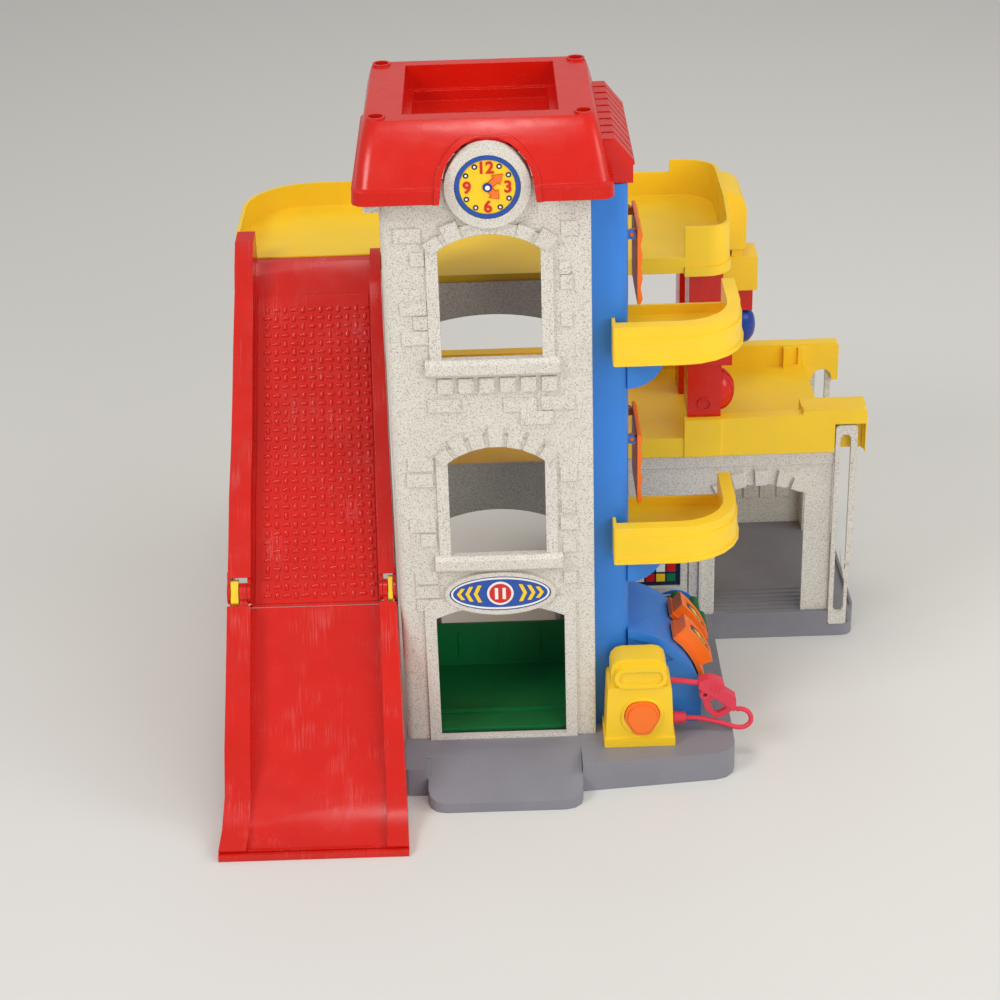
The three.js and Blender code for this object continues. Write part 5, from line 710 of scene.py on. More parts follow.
class Copies:
    """A Geometry Nodes tree that repeats a template and ends as one plain mesh."""

    def __init__(self, name: str, sizes: dict[str, object]) -> None:
        """Starts a tree with named inputs.

        Args:
            name: the tree's name.
            sizes: each input's name with its value: a number, an object or a material.
        """
        self.tree = bpy.data.node_groups.new(name, "GeometryNodeTree")
        self.sizes: dict[str, object] = {}
        kinds = {int: "NodeSocketInt", float: "NodeSocketFloat", bpy.types.Object: "NodeSocketObject",
                 bpy.types.Material: "NodeSocketMaterial"}
        self.tree.interface.new_socket("Geometry", in_out="INPUT", socket_type="NodeSocketGeometry")
        for label, value in sizes.items():
            socket = self.tree.interface.new_socket(label, in_out="INPUT", socket_type=kinds[type(value)])
            self.sizes[socket.identifier] = value
        self.tree.interface.new_socket("Geometry", in_out="OUTPUT", socket_type="NodeSocketGeometry")
        self.given = self.tree.nodes.new("NodeGroupInput").outputs

    def add(self, kind: str, values: dict | None = None, **settings: object) -> bpy.types.Node:
        """Adds a node to the tree."""
        return add_node(self.tree, kind, values, **settings)

    def end(self, instances: Socket) -> None:
        """Closes the tree with real geometry and its material.

        Args:
            instances: the output that holds the repeated pieces.
        """
        real = self.add("GeometryNodeRealizeInstances", {0: instances})
        dressed = self.add("GeometryNodeSetMaterial", {
            0: real.outputs[0], "Material": self.given["Material"]})
        self.add("NodeGroupOutput", {0: dressed.outputs[0]})

    def mesh(self, host: bpy.types.Object, name: str) -> bpy.types.Mesh:
        """Runs the tree on an object, then takes away the object and the template.

        Args:
            host: the object whose points or curves the tree reads.
            name: the new mesh's name.

        Returns:
            The result as a plain mesh.
        """
        modifier = host.modifiers.new(self.tree.name, "NODES")
        modifier.node_group = self.tree
        for identifier, value in self.sizes.items():
            modifier[identifier] = value
        seen = host.evaluated_get(bpy.context.evaluated_depsgraph_get())
        mesh = bpy.data.meshes.new_from_object(seen)
        mesh.name = name
        host.modifiers.remove(modifier)
        bpy.data.objects.remove(host)
        for template in [v for v in self.sizes.values() if isinstance(v, bpy.types.Object)]:
            bpy.data.objects.remove(template)
        return mesh


def copies_at(name: str, places: Iterable[tuple[Vector, Vector, Vector]], template: bpy.types.Mesh,
              finish: Finish) -> bpy.types.Object:
    """Repeats a template at chosen places, its own Z along one direction and its X along another.

    Args:
        name: the piece's name.
        places: the place, the way out and the way along of each copy.
        template: the mesh to repeat, about the origin.
        finish: what the copies are made of.

    Returns:
        The piece's object.
    """
    spots, *ways = zip(*places)
    labels = ("out", "along")
    points = bpy.data.meshes.new(name)
    points.from_pydata([tuple(p) for p in spots], [], [])
    for label, directions in zip(labels, ways):
        values = points.attributes.new(label, "FLOAT_VECTOR", "POINT")
        values.data.foreach_set("vector", [c for way in directions for c in way])
    host, model = linked(name, points), linked(name + " template", template)
    copies = Copies(name, {"Template": model, "Size": 1.0, "Material": finish.material()})
    shape = copies.add("GeometryNodeObjectInfo", {"Object": copies.given["Template"]})
    out, along = [copies.add("GeometryNodeInputNamedAttribute", {"Name": label},
                             data_type="FLOAT_VECTOR").outputs[0] for label in labels]
    stood = copies.add("FunctionNodeAlignRotationToVector", {"Vector": out}, axis="Z")
    turned = copies.add("FunctionNodeAlignRotationToVector", {"Rotation": stood.outputs[0], "Vector": along},
                        axis="X", pivot_axis="Z")
    placed = copies.add("GeometryNodeInstanceOnPoints", {
        "Points": copies.given["Geometry"], "Instance": shape.outputs["Geometry"],
        "Rotation": turned.outputs[0], "Scale": copies.given["Size"]})
    copies.end(placed.outputs[0])
    return object_of(name, copies.mesh(host, name), finish)


@dataclass(frozen=True)
class Screw:
    """A pan-head screw with a cross recess, its head standing on the origin.

    The profile holds shares of the radius with shares of the rise, from the foot to the recess.
    """

    radius: float = 3.2 * MM
    rise: float = 1.1 * MM
    sides: int = 24
    profile: tuple[Pair, ...] = ((1.0, 0.0), (1.0, 0.35), (0.86, 0.72), (0.6, 0.93), (0.36, 1.0))
    arm_share: float = 0.36
    notch_share: float = 0.14
    sunk_share: float = 0.35

    def fill(self, bm: Draft) -> None:
        """Adds the head, then sinks a cross in it.

        Args:
            bm: the mesh that it goes into.
        """
        rows = join_rings([[self.at(angle, share, high) for angle in turns(self.sides)]
                           for share, high in self.profile], bm)
        top = rows[-1]
        lid = [face for face in bm.faces if all(vert in top for vert in face.verts)]
        bmesh.ops.delete(bm, geom=lid, context="FACES_ONLY")
        quarter = self.sides // 4
        star = []
        for i, angle in enumerate(turns(self.sides)):
            share = self.arm_share if i % quarter in (0, 1, quarter - 1) else self.notch_share
            star.append(bm.verts.new(self.at(angle, share, self.sunk_share)))
        band(top, star, bm)
        bm.faces.new(star)

    def at(self, angle: float, share: float, high: float) -> Vector:
        """A point at an angle, a share of the radius and a share of the rise."""
        return Vector((self.radius * share * math.cos(angle), self.radius * share * math.sin(angle),
                       self.rise * high))


@dataclass(frozen=True)
class Capsule:
    """A low raised capsule with a rolled edge, lying along X on the origin's plane.

    The profile holds shares of the half width with shares of the rise, from its sunk foot to its top.
    """

    length: float
    width: float
    rise: float
    steps: int = 6
    profile: tuple[Pair, ...] = ((1.0, -0.4), (1.0, 0.25), (0.86, 0.7), (0.6, 1.0))

    def fill(self, bm: Draft) -> None:
        """Adds rings that shrink as they rise.

        Args:
            bm: the mesh that it goes into.
        """
        half = self.width / 2
        reach = self.length / 2 - half
        angles = [(side, math.pi * (i / self.steps - 0.5) + (0 if side > 0 else math.pi))
                  for side in (1, -1) for i in range(self.steps + 1)]
        join_rings([[Vector((side * reach + half * share * math.cos(a), half * share * math.sin(a),
                             self.rise * high)) for side, a in angles]
                    for share, high in self.profile], bm)


def lettering(text: str, centre: Vector, size: float, rise: float, facing: Matrix) -> bpy.types.Mesh:
    """Plain numerals as a raised mesh.

    Args:
        text: the numerals.
        centre: the middle of the word.
        size: the font's size.
        rise: how far it stands proud.
        facing: turns the flat X-Y word to the face that it is on.

    Returns:
        The mesh, with its place in its points.
    """
    stroke_share, letter_gap = 0.03, 1e-7
    curve = bpy.data.curves.new(text, "FONT")
    curve.body, curve.size, curve.extrude, curve.resolution_u = text, size, rise, 6
    curve.offset = size * stroke_share
    curve.align_x, curve.align_y = "CENTER", "CENTER"
    word = linked(text, curve)
    bpy.context.view_layer.update()
    mesh = bpy.data.meshes.new_from_object(word.evaluated_get(bpy.context.evaluated_depsgraph_get()))
    bpy.data.objects.remove(word)
    axes = list(zip(*(v.co for v in mesh.vertices)))
    middle = (Vector(map(min, axes)) + Vector(map(max, axes))) / 2
    mesh.transform(Matrix.Translation(centre) @ facing @ Matrix.Translation(-middle))
    bm = bmesh.new()
    bm.from_mesh(mesh)
    clean(bm, letter_gap)
    bm.to_mesh(mesh)
    bm.free()
    return mesh


# The room


@dataclass(frozen=True)
class Lamp:
    """A round soft lamp, which shows in glossy surfaces or not."""

    name: str
    place: Point
    size: float
    power: float
    glossy: bool


@dataclass
class Room:
    """The camera at the photographed angle, soft lamps, and a pale floor."""

    place: Point = (-0.044, -1.645, 1.030)
    pitch: float = 27.5
    roll: float = -1.8
    lens: float = 80.1
    sensor: float = 36.0
    far: float = 50.0
    floor_half: float = 8.0
    floor_drop: float = 0.0002
    floor_colour: str = "#DEDCD8"
    floor_roughness: float = 0.9
    sky_colour: str = "#F6F5F2"
    sky_strength: float = 0.5
    aim: Point = (0.0, 0.0, 0.25)
    lamps: tuple[Lamp, ...] = (
        Lamp("key", (-1.5, -1.4, 1.9), 0.9, 19.5, True), Lamp("front", (1.1, -2.1, 1.0), 1.6, 18.0, False),
        Lamp("right", (1.9, -0.4, 1.5), 1.2, 12.0, True), Lamp("back", (0.2, 1.8, 1.9), 1.2, 5.0, False),
        Lamp("top", (-0.02, -0.48, 2.1), 0.5, 5.5, True))

    def camera(self) -> None:
        """Sets the camera up."""
        data = bpy.data.cameras.new("camera")
        data.lens, data.sensor_width, data.clip_end = self.lens, self.sensor, self.far
        eye = linked("camera", data)
        eye.matrix_world = (Matrix.Translation(self.place)
                            @ Matrix.Rotation(math.radians(90 - self.pitch), 4, "X")
                            @ Matrix.Rotation(math.radians(self.roll), 4, "Z"))
        bpy.context.scene.camera = eye

    def floor(self) -> None:
        """Lays the pale floor."""
        half, z = self.floor_half, -self.floor_drop
        mesh = bpy.data.meshes.new("floor")
        mesh.from_pydata([(-half, -half, z), (half, -half, z), (half, half, z), (-half, half, z)], [],
                         [(0, 1, 2, 3)])
        made = bpy.data.materials.new("matt card, pale grey")
        made.use_nodes = True
        feed(made.node_tree.nodes["Principled BSDF"], {
            "Base Color": linear(self.floor_colour), "Roughness": self.floor_roughness})
        mesh.materials.append(made)
        linked("floor", mesh)

    def light(self) -> None:
        """Hangs the soft lamps and sets the even light of the room."""
        for lamp in self.lamps:
            data = bpy.data.lights.new(lamp.name, "AREA")
            data.shape, data.size, data.energy = "DISK", lamp.size, lamp.power
            hung = linked(lamp.name, data)
            hung.location = lamp.place
            hung.visible_glossy = lamp.glossy
            hung.rotation_euler = (Vector(self.aim) - Vector(lamp.place)).to_track_quat("-Z", "Y").to_euler()
        world = bpy.data.worlds.new("room")
        world.use_nodes = True
        bpy.context.scene.world = world
        feed(world.node_tree.nodes["Background"], {
            "Color": linear(self.sky_colour), "Strength": self.sky_strength})

    def make(self) -> None:
        """Builds the whole room."""
        self.camera()
        self.floor()
        self.light()
        bpy.context.scene.view_settings.view_transform = "Standard"


# The pieces, with their sizes in millimetres


@dataclass
class PumpHose:
    """The soft hose from the pump's collar to the tail of its nozzle."""

    route: tuple[Point, ...] = (
        (101.3, -130, 37.6), (109, -130, 37), (116.3, -130.4, 35.9), (126.7, -131.2, 33.4),
        (135, -131.8, 30.6), (142.3, -132, 28.2), (148.5, -131.8, 28.4), (153, -131.2, 32),
        (153.4, -130.6, 37.5), (150.6, -130.2, 42), (146.4, -130, 44.1), (141.6, -130, 44.3))
    diameter: float = 4 * MM
    steps: int = 10
    sides: int = 20
    smooth: float = 60.0

    def line(self) -> list[Vector]:
        """The route as a smooth row of points through its stations.

        Returns:
            The points.
        """
        stations = [mm(*p) for p in self.route]
        ends = [2 * stations[0] - stations[1], *stations, 2 * stations[-1] - stations[-2]]
        points = []
        for a, b, c, d in zip(ends, ends[1:], ends[2:], ends[3:]):
            for k in range(self.steps):
                t = k / self.steps
                points.append(((2 * b) + (c - a) * t + (2 * a - 5 * b + 4 * c - d) * t * t
                               + (3 * b - a - 3 * c + d) * t ** 3) / 2)
        return [*points, stations[-1]]

    def tube(self, points: Sequence[Vector], bm: Draft) -> None:
        """Adds one ring at each point, carried along without twist.

        Args:
            points: the middle line.
            bm: the mesh that it goes into.
        """
        rings = []
        side = Vector((0, 1, 0))
        for i, point in enumerate(points):
            along = (points[min(i + 1, len(points) - 1)] - points[max(i - 1, 0)]).normalized()
            side = (side - along * side.dot(along)).normalized()
            up = along.cross(side)
            rings.append([point + (side * math.cos(a) + up * math.sin(a)) * self.diameter / 2
                          for a in turns(self.sides)])
        join_rings(rings, bm)

    def make(self) -> None:
        """Builds the tube, then the nozzle's ribs and spout end."""
        points = self.line()
        hose = make_piece("pump_hose_tube", partial(self.tube, points), HOSE_PINK, STILL, "hose", "pump_hose",
                          smooth=self.smooth)
        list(NozzleDetail().make())


@dataclass
class NozzleDetail:
    """The raised ribs on both cheeks of the hose's nozzle, and the end of its spout, seated in the pump."""

    cheeks: Pair = (-134.5, -125.5)
    feet: tuple[Pair, ...] = ((120.6, 65.2), (123.8, 63.4), (127.0, 61.6))
    lean: Pair = (1.2, 7.6)
    width: float = 1.3
    rise: float = 0.5
    spout: tuple[Point, ...] = ((85.0, 74.61, 1.8), (85.6, 74.52, 2.3), (94.0, 73.18, 2.36))
    spout_sides: int = 24
    smooth: float = 60.0

    def spout_end(self, bm: Draft) -> None:
        """Adds the spout's last stretch, one ring at each x, z and radius, from its tip in the socket.

        Args:
            bm: the mesh that it goes into.
        """
        y = sum(self.cheeks) / 2
        (tip_x, tip_z, _), (root_x, root_z, _) = self.spout[0], self.spout[-1]
        across = Vector((tip_z - root_z, 0, root_x - tip_x)).normalized()
        join_rings([[mm(x, y, z) + (across * math.cos(a) + Vector((0, math.sin(a), 0))) * radius * MM
                     for a in turns(self.spout_sides)] for x, z, radius in self.spout], bm)

    def make(self) -> list[bpy.types.Object]:
        """Repeats one rib on each cheek, and makes the spout's end.

        Returns:
            The ribs and the spout's end.
        """
        reach = Vector((self.lean[0], 0, self.lean[1]))
        along = reach.normalized()
        places = [(mm(x, y, z) + reach * MM / 2, Vector((0, out, 0)), along)
                  for y, out in zip(self.cheeks, (-1, 1)) for x, z in self.feet]
        rib = mesh_of("rib", Capsule(reach.length * MM, self.width * MM, self.rise * MM).fill)
        ribs = put_on(copies_at("nozzle_ribs", places, rib, HOSE_PINK), STILL, "hose")
        spout = make_piece("nozzle_spout", self.spout_end, HOSE_PINK, STILL, "hose", smooth=self.smooth)
        return [ribs, spout]


@dataclass
class Ramp:
    """The raised treads of the upper ramp."""

    path: tuple[Pair, ...] = (
        (47, 343), (18, 307), (-6, 274), (-32, 241), (-61, 211), (-84, 178), (-112, 142))
    left: Pair = (-228.5, -231.0)
    right: Pair = (-149.5, -147.5)
    columns: int = 12
    rows: int = 34
    first: float = 12.0
    last: float = 9.0
    proud: float = 1.0
    length: float = 6.5
    width: float = 3.1
    rise: float = 1.0
    smooth: float = 50.0

    def edge(self, top: float, foot: float) -> list[Vector]:
        """The panel's surface line down one side, lifted onto the raised panel.

        Args:
            top: its x at the upper end.
            foot: its x at the lower end.

        Returns:
            Its points.
        """
        points, final = [], len(self.path) - 1
        for i, (y, z) in enumerate(self.path):
            before, after = self.path[max(i - 1, 0)], self.path[min(i + 1, final)]
            along = Vector((after[0] - before[0], after[1] - before[1])).normalized()
            share = i / final
            points.append(mm(top + (foot - top) * share, y + along.y * self.proud, z - along.x * self.proud))
        return points

    def edges(self) -> bpy.types.Object:
        """Both side lines of the panel as one curve object.

        Returns:
            The object.
        """
        curve = bpy.data.curves.new("tread edges", "CURVE")
        curve.dimensions = "3D"
        for line in (self.edge(*self.left), self.edge(*self.right)):
            spline = curve.splines.new("POLY")
            spline.points.add(len(line) - 1)
            for point, place in zip(spline.points, line):
                point.co = (*place, 1.0)
        return linked("tread edges", curve)

    def reach(self, tree: Copies, down: Socket) -> Socket:
        """How far down the side lines a row lies, from the first row's place to the last's.

        Args:
            tree: the tread's tree.
            down: each copy's share of the way from the first row to the last.

        Returns:
            The length output.
        """
        given = tree.given
        both = tree.add("GeometryNodeCurveLength", {0: given["Geometry"]}).outputs[0]
        whole = tree.add("ShaderNodeMath", {0: both, 1: 0.5}, operation="MULTIPLY").outputs[0]
        used = tree.add("ShaderNodeMath", {0: whole, 1: given["First"]}, operation="SUBTRACT").outputs[0]
        used = tree.add("ShaderNodeMath", {0: used, 1: given["Last"]}, operation="SUBTRACT").outputs[0]
        return tree.add("ShaderNodeMath", {0: down, 1: used, 2: given["First"]},
                        operation="MULTIPLY_ADD").outputs[0]

    def quarter(self, tree: Copies, across: Socket, down: Socket) -> Socket:
        """A quarter turn for every second capsule, and none for the others.

        Args:
            tree: the tread's tree.
            across: each copy's share of the way from the first column to the last.
            down: each copy's share of the way from the first row to the last.

        Returns:
            The angle output.
        """
        column = tree.add("ShaderNodeMath", {0: across, 1: self.columns - 1.0},
                          operation="MULTIPLY").outputs[0]
        row = tree.add("ShaderNodeMath", {0: down, 1: self.rows - 1.0}, operation="MULTIPLY").outputs[0]
        both = tree.add("ShaderNodeMath", {0: column, 1: row}, operation="ADD").outputs[0]
        nearest = tree.add("ShaderNodeMath", {0: both, 1: 0.5}, operation="ADD").outputs[0]
        whole = tree.add("ShaderNodeMath", {0: nearest}, operation="FLOOR").outputs[0]
        odd = tree.add("ShaderNodeMath", {0: whole, 1: 2.0}, operation="MODULO").outputs[0]
        return tree.add("ShaderNodeMath", {0: odd, 1: math.pi / 2}, operation="MULTIPLY").outputs[0]

    def make(self) -> None:
        """Repeats a capsule over the panel, each turned a quarter from its neighbours."""
        capsule = Capsule(self.length * MM, self.width * MM, self.rise * MM)
        host, model = self.edges(), linked("tread template", mesh_of("tread template", capsule.fill))
        tree = Copies("ramp treads", {
            "Template": model, "Columns": self.columns, "Rows": self.rows, "First": self.first * MM,
            "Last": self.last * MM, "Material": RAMP_RED.material()})
        given = tree.given
        grid = tree.add("GeometryNodeMeshGrid", {
            "Size X": 1.0, "Size Y": 1.0, "Vertices X": given["Columns"], "Vertices Y": given["Rows"]})
        spot = tree.add("ShaderNodeSeparateXYZ", {0: tree.add("GeometryNodeInputPosition").outputs[0]})
        across = tree.add("ShaderNodeMath", {0: spot.outputs["X"], 1: 0.5}, operation="ADD").outputs[0]
        down = tree.add("ShaderNodeMath", {0: 0.5, 1: spot.outputs["Y"]}, operation="SUBTRACT").outputs[0]
        reach = self.reach(tree, down)
        sides = [tree.add("GeometryNodeSampleCurve", {
            "Curves": given["Geometry"], "Length": reach, "Curve Index": index}, mode="LENGTH")
            for index in (0, 1)]
        left, right = (side.outputs["Position"] for side in sides)
        along = sides[0].outputs["Tangent"]
        place = tree.add("ShaderNodeMix", {SHARE: across, VECTOR_A: left, VECTOR_B: right},
                         data_type="VECTOR").outputs[VECTOR_OUT]
        aside = tree.add("ShaderNodeVectorMath", {0: right, 1: left}, operation="SUBTRACT").outputs[0]
        out = tree.add("ShaderNodeVectorMath", {0: along, 1: aside}, operation="CROSS_PRODUCT").outputs[0]
        stood = tree.add("FunctionNodeAlignRotationToVector", {"Vector": out}, axis="Z")
        turned = tree.add("FunctionNodeAlignRotationToVector", {
            "Rotation": stood.outputs[0], "Vector": along}, axis="X", pivot_axis="Z")
        spin = tree.add("FunctionNodeAxisAngleToRotation", {
            "Axis": (0, 0, 1), "Angle": self.quarter(tree, across, down)})
        final = tree.add("FunctionNodeRotateRotation", {
            "Rotation": turned.outputs[0], "Rotate By": spin.outputs[0]}, rotation_space="LOCAL")
        kept = tree.add("GeometryNodeCaptureAttribute", {0: grid.outputs[0]})
        kept.capture_items.new("ROTATION", "turn")
        feed(kept, {"turn": final.outputs[0]})
        laid = tree.add("GeometryNodeSetPosition", {"Geometry": kept.outputs[0], "Position": place})
        shape = tree.add("GeometryNodeObjectInfo", {"Object": given["Template"]})
        placed = tree.add("GeometryNodeInstanceOnPoints", {
            "Points": laid.outputs[0], "Instance": shape.outputs["Geometry"],
            "Rotation": kept.outputs["turn"]})
        tree.end(placed.outputs[0])
        mesh = tree.mesh(host, "ramp treads")
        put_on(object_of("ramp_treads", mesh, RAMP_RED, self.smooth), STILL, "red")


@dataclass
class Clock:
    """The clock face: a rimmed dial with plain numerals, dots and two arrow hands.

    Each hand has its angle, its reach and its half width. Pivot and cap have a radius and a rise.
    """

    centre: Pair = (-46.0, 495.7)
    front: float = -135.1
    rim: Pair = (23.6, 20.3)
    rim_rise: float = 0.7
    numerals: tuple[tuple[str, float], ...] = (("12", 90.0), ("3", 0.0), ("6", -90.0), ("9", 180.0))
    numeral: float = 10.6
    numeral_at: float = 14.6
    font_share: float = 1.15  # the font's size over the height of its numerals
    ink: float = 0.2
    film: float = 0.3
    dot: float = 2.0
    dot_at: float = 17.6
    dot_rise: float = 0.35
    dot_sides: int = 32
    eye_share: float = 0.45
    eye_sides: int = 16
    hour_turn: float = 30.0
    hands: tuple[Point, ...] = ((41.0, 14.2, 2.1), (-48.0, 11.6, 2.1))
    neck_share: float = 0.58
    barb_share: float = 2.1
    tip_share: float = 1.6
    edge: float = 0.45
    edge_out: float = 0.5
    hand_out: float = 0.85
    rim_ease: float = 0.2
    hand_ease: float = 0.1
    pivot_ease: float = 0.6
    cap_ease: float = 0.25
    pivot: Pair = (3.4, 1.9)
    cap: Pair = (1.8, 0.6)
    cap_sides: int = 24

    def at(self, angle: float, radius: float, out: float = 0.0) -> Vector:
        """A point of the dial.

        Args:
            angle: degrees from the right, turning to the top.
            radius: distance from the middle in millimetres.
            out: distance in front of the dial in millimetres.

        Returns:
            The point in metres.
        """
        turn = math.radians(angle)
        return mm(self.centre[0] + radius * math.cos(turn), self.front - out,
                  self.centre[1] + radius * math.sin(turn))

    def dots(self, radius: float, out: float, rise: float, sides: int, bm: Draft) -> None:
        """Adds a disc at each hour that has no numeral.

        Args:
            radius: its radius in millimetres.
            out: how far in front of the dial it starts.
            rise: how far it stands proud of that.
            sides: facets round it.
            bm: the mesh that it goes into.
        """
        for hour in (h for h in range(12) if h % 3):
            disc(self.at(self.hour_turn * hour, self.dot_at, out), radius * MM, rise * MM, bm, sides)

    def arrows(self, grow: float, out: float, bm: Draft) -> None:
        """Adds both hands, grown by a margin, at one height.

        Args:
            grow: the margin in millimetres.
            out: how far in front of the dial they start.
            bm: the mesh that they go into.
        """
        middle = self.at(0, 0)
        for angle, reach, half in self.hands:
            along, aside = self.at(angle, 1) - middle, self.at(angle + 90, 1) - middle
            neck, barb, side = reach * self.neck_share - grow, half * self.barb_share + grow, half + grow
            shape = [(0, -side), (neck, -side), (neck, -barb), (reach + grow * self.tip_share, 0),
                     (neck, barb), (neck, side), (0, side)]
            plate([self.at(0, 0, out) + along * a + aside * b for a, b in shape], mm(0, -self.film, 0), bm)

    def make(self) -> None:
        """Builds the rim, the dots, the numerals, the hands and the pivot."""
        rim = partial(raised_ring, self.at(0, 0), self.rim[0] * MM, self.rim[1] * MM, self.rim_rise * MM)
        make_piece("clock_rim", rim, INK_BLUE, STILL, "dial", ease=self.rim_ease * MM)
        eye = self.dot * self.eye_share
        for name, radius, out, rise, sides, ink in (
                ("clock_dots", self.dot, 0.0, self.dot_rise, self.dot_sides, INK_NAVY),
                ("clock_dot_eyes", eye, self.film, self.ink, self.eye_sides, INK_WHITE)):
            make_piece(name, partial(self.dots, radius, out, rise, sides), ink, STILL, "dial")
        facing = Matrix.Rotation(math.radians(90), 4, "X")
        for text, angle in self.numerals:
            mesh = lettering(text, self.at(angle, self.numeral_at, self.film),
                             self.numeral * self.font_share * MM, self.ink * MM, facing)
            put_on(object_of("clock_numeral_" + text, mesh, INK_RED), STILL, "dial")
        edges = partial(self.arrows, self.edge, self.edge_out)
        make_piece("clock_hand_edges", edges, INK_RED, STILL, "dial")
        hands = partial(self.arrows, 0.0, self.hand_out)
        make_piece("clock_hands", hands, INK_ORANGE, STILL, "dial", ease=self.hand_ease * MM)
        pin = partial(disc, self.at(0, 0), self.pivot[0] * MM, self.pivot[1] * MM)
        make_piece("clock_pivot", pin, NAVY, STILL, "dial", ease=self.pivot_ease * MM)
        cap = partial(disc, self.at(0, 0, self.pivot[1]), self.cap[0] * MM, self.cap[1] * MM,
                      sides=self.cap_sides)
        make_piece("clock_pivot_cap", cap, INK_WHITE, STILL, "dial", ease=self.cap_ease * MM)


@dataclass
class Sign:
    """The oval sign over the door: a plain generic design of chevrons and a roundel with two bars.

    The roundel's white field and red core have a radius and a rise.
    """

    centre: Pair = (-46.0, 161.0)
    front: float = -133.6
    half: Pair = (38.6, 14.2)
    border: float = 1.5
    border_rise: float = 0.3
    border_sides: int = 96
    disc_sides: int = 48
    chevron_heights: Point = (7.6, 6.6, 5.0)
    chevron_at: float = 14.5
    chevron_pitch: float = 6.6
    chevron_width: float = 3.0
    chevron_notch: float = 3.4
    chevron_tip: float = 6.4
    chevron_rise: float = 0.35
    field: Pair = (10.4, 0.3)
    core: Pair = (8.6, 0.5)
    bar_rise: float = 0.7
    bar_at: float = 3.0
    bar_half: Pair = (1.3, 5.0)

    def at(self, x: float, z: float, out: float = 0.0) -> Vector:
        """A point of the plate in metres."""
        return mm(self.centre[0] + x, self.front - out, self.centre[1] + z)

    def chevrons(self, bm: Draft) -> None:
        """Adds three arrowheads on each side.

        Args:
            bm: the mesh that it goes into.
        """
        for side in (-1, 1):
            for i, high in enumerate(self.chevron_heights):
                foot = side * (self.chevron_at + self.chevron_pitch * i)
                back, notch, tip = (foot + side * reach for reach in
                                    (self.chevron_width, self.chevron_notch, self.chevron_tip))
                shape = [(foot, -high), (back, -high), (tip, 0), (back, high), (foot, high), (notch, 0)]
                plate([self.at(*p) for p in shape], mm(0, -self.chevron_rise, 0), bm)

    def bars(self, bm: Draft) -> None:
        """Adds two upright bars.

        Args:
            bm: the mesh that it goes into.
        """
        wide, tall = self.bar_half
        for x in (-self.bar_at, self.bar_at):
            corners = ((x - wide, -tall), (x + wide, -tall), (x + wide, tall), (x - wide, tall))
            plate([self.at(*p) for p in corners], mm(0, -self.bar_rise, 0), bm)

    def make(self) -> None:
        """Builds the design."""
        wide, tall = self.half
        border = partial(raised_ring, self.at(0, 0), wide * MM, (wide - self.border) * MM,
                         self.border_rise * MM, sides=self.border_sides, squeeze=tall / wide)
        field, core = (partial(disc, self.at(0, 0), radius * MM, rise * MM, sides=self.disc_sides)
                       for radius, rise in (self.field, self.core))
        for name, fill, ink in (("border", border, INK_WHITE), ("chevrons", self.chevrons, INK_YELLOW),
                                ("disc", field, INK_WHITE), ("core", core, INK_RED),
                                ("bar", self.bars, INK_WHITE)):
            make_piece("sign_" + name, fill, ink, STILL, "sign")


@dataclass
class Picture:
    """The small panel in the low building: a plain generic board of coloured tiles."""

    left: float = 59.7
    right: float = 111.7
    low: float = 55.2
    high: float = 118.7
    front: float = 55.6
    margin: float = 3.0
    rows: int = 6
    columns: int = 5
    tile_shares: tuple[Pair, ...] = ((0.08, 0.1), (0.92, 0.1), (0.92, 0.9), (0.08, 0.9))
    film: float = 0.25
    inks: tuple[tuple[str, Print], ...] = (
        ("green", INK_GREEN), ("white", INK_WHITE), ("red", INK_RED), ("yellow", INK_YELLOW))

    def tiles(self, index: int, bm: Draft) -> None:
        """Adds the tiles of one ink.

        Args:
            index: the ink's number.
            bm: the mesh that they go into.
        """
        wide = (self.right - self.left - 2 * self.margin) / self.columns
        tall = (self.high - self.low - 2 * self.margin) / self.rows
        for row in range(self.rows):
            for column in range(self.columns):
                if (row * 2 + column) % len(self.inks) == index:
                    x, z = self.left + self.margin + wide * column, self.low + self.margin + tall * row
                    plate([mm(x + a * wide, self.front, z + b * tall) for a, b in self.tile_shares],
                          mm(0, -self.film, 0), bm)

    def make(self) -> None:
        """Builds the tiles, one mesh for each ink."""
        for index, (name, ink) in enumerate(self.inks):
            make_piece("picture_tiles_" + name, partial(self.tiles, index), ink, STILL, "picture")


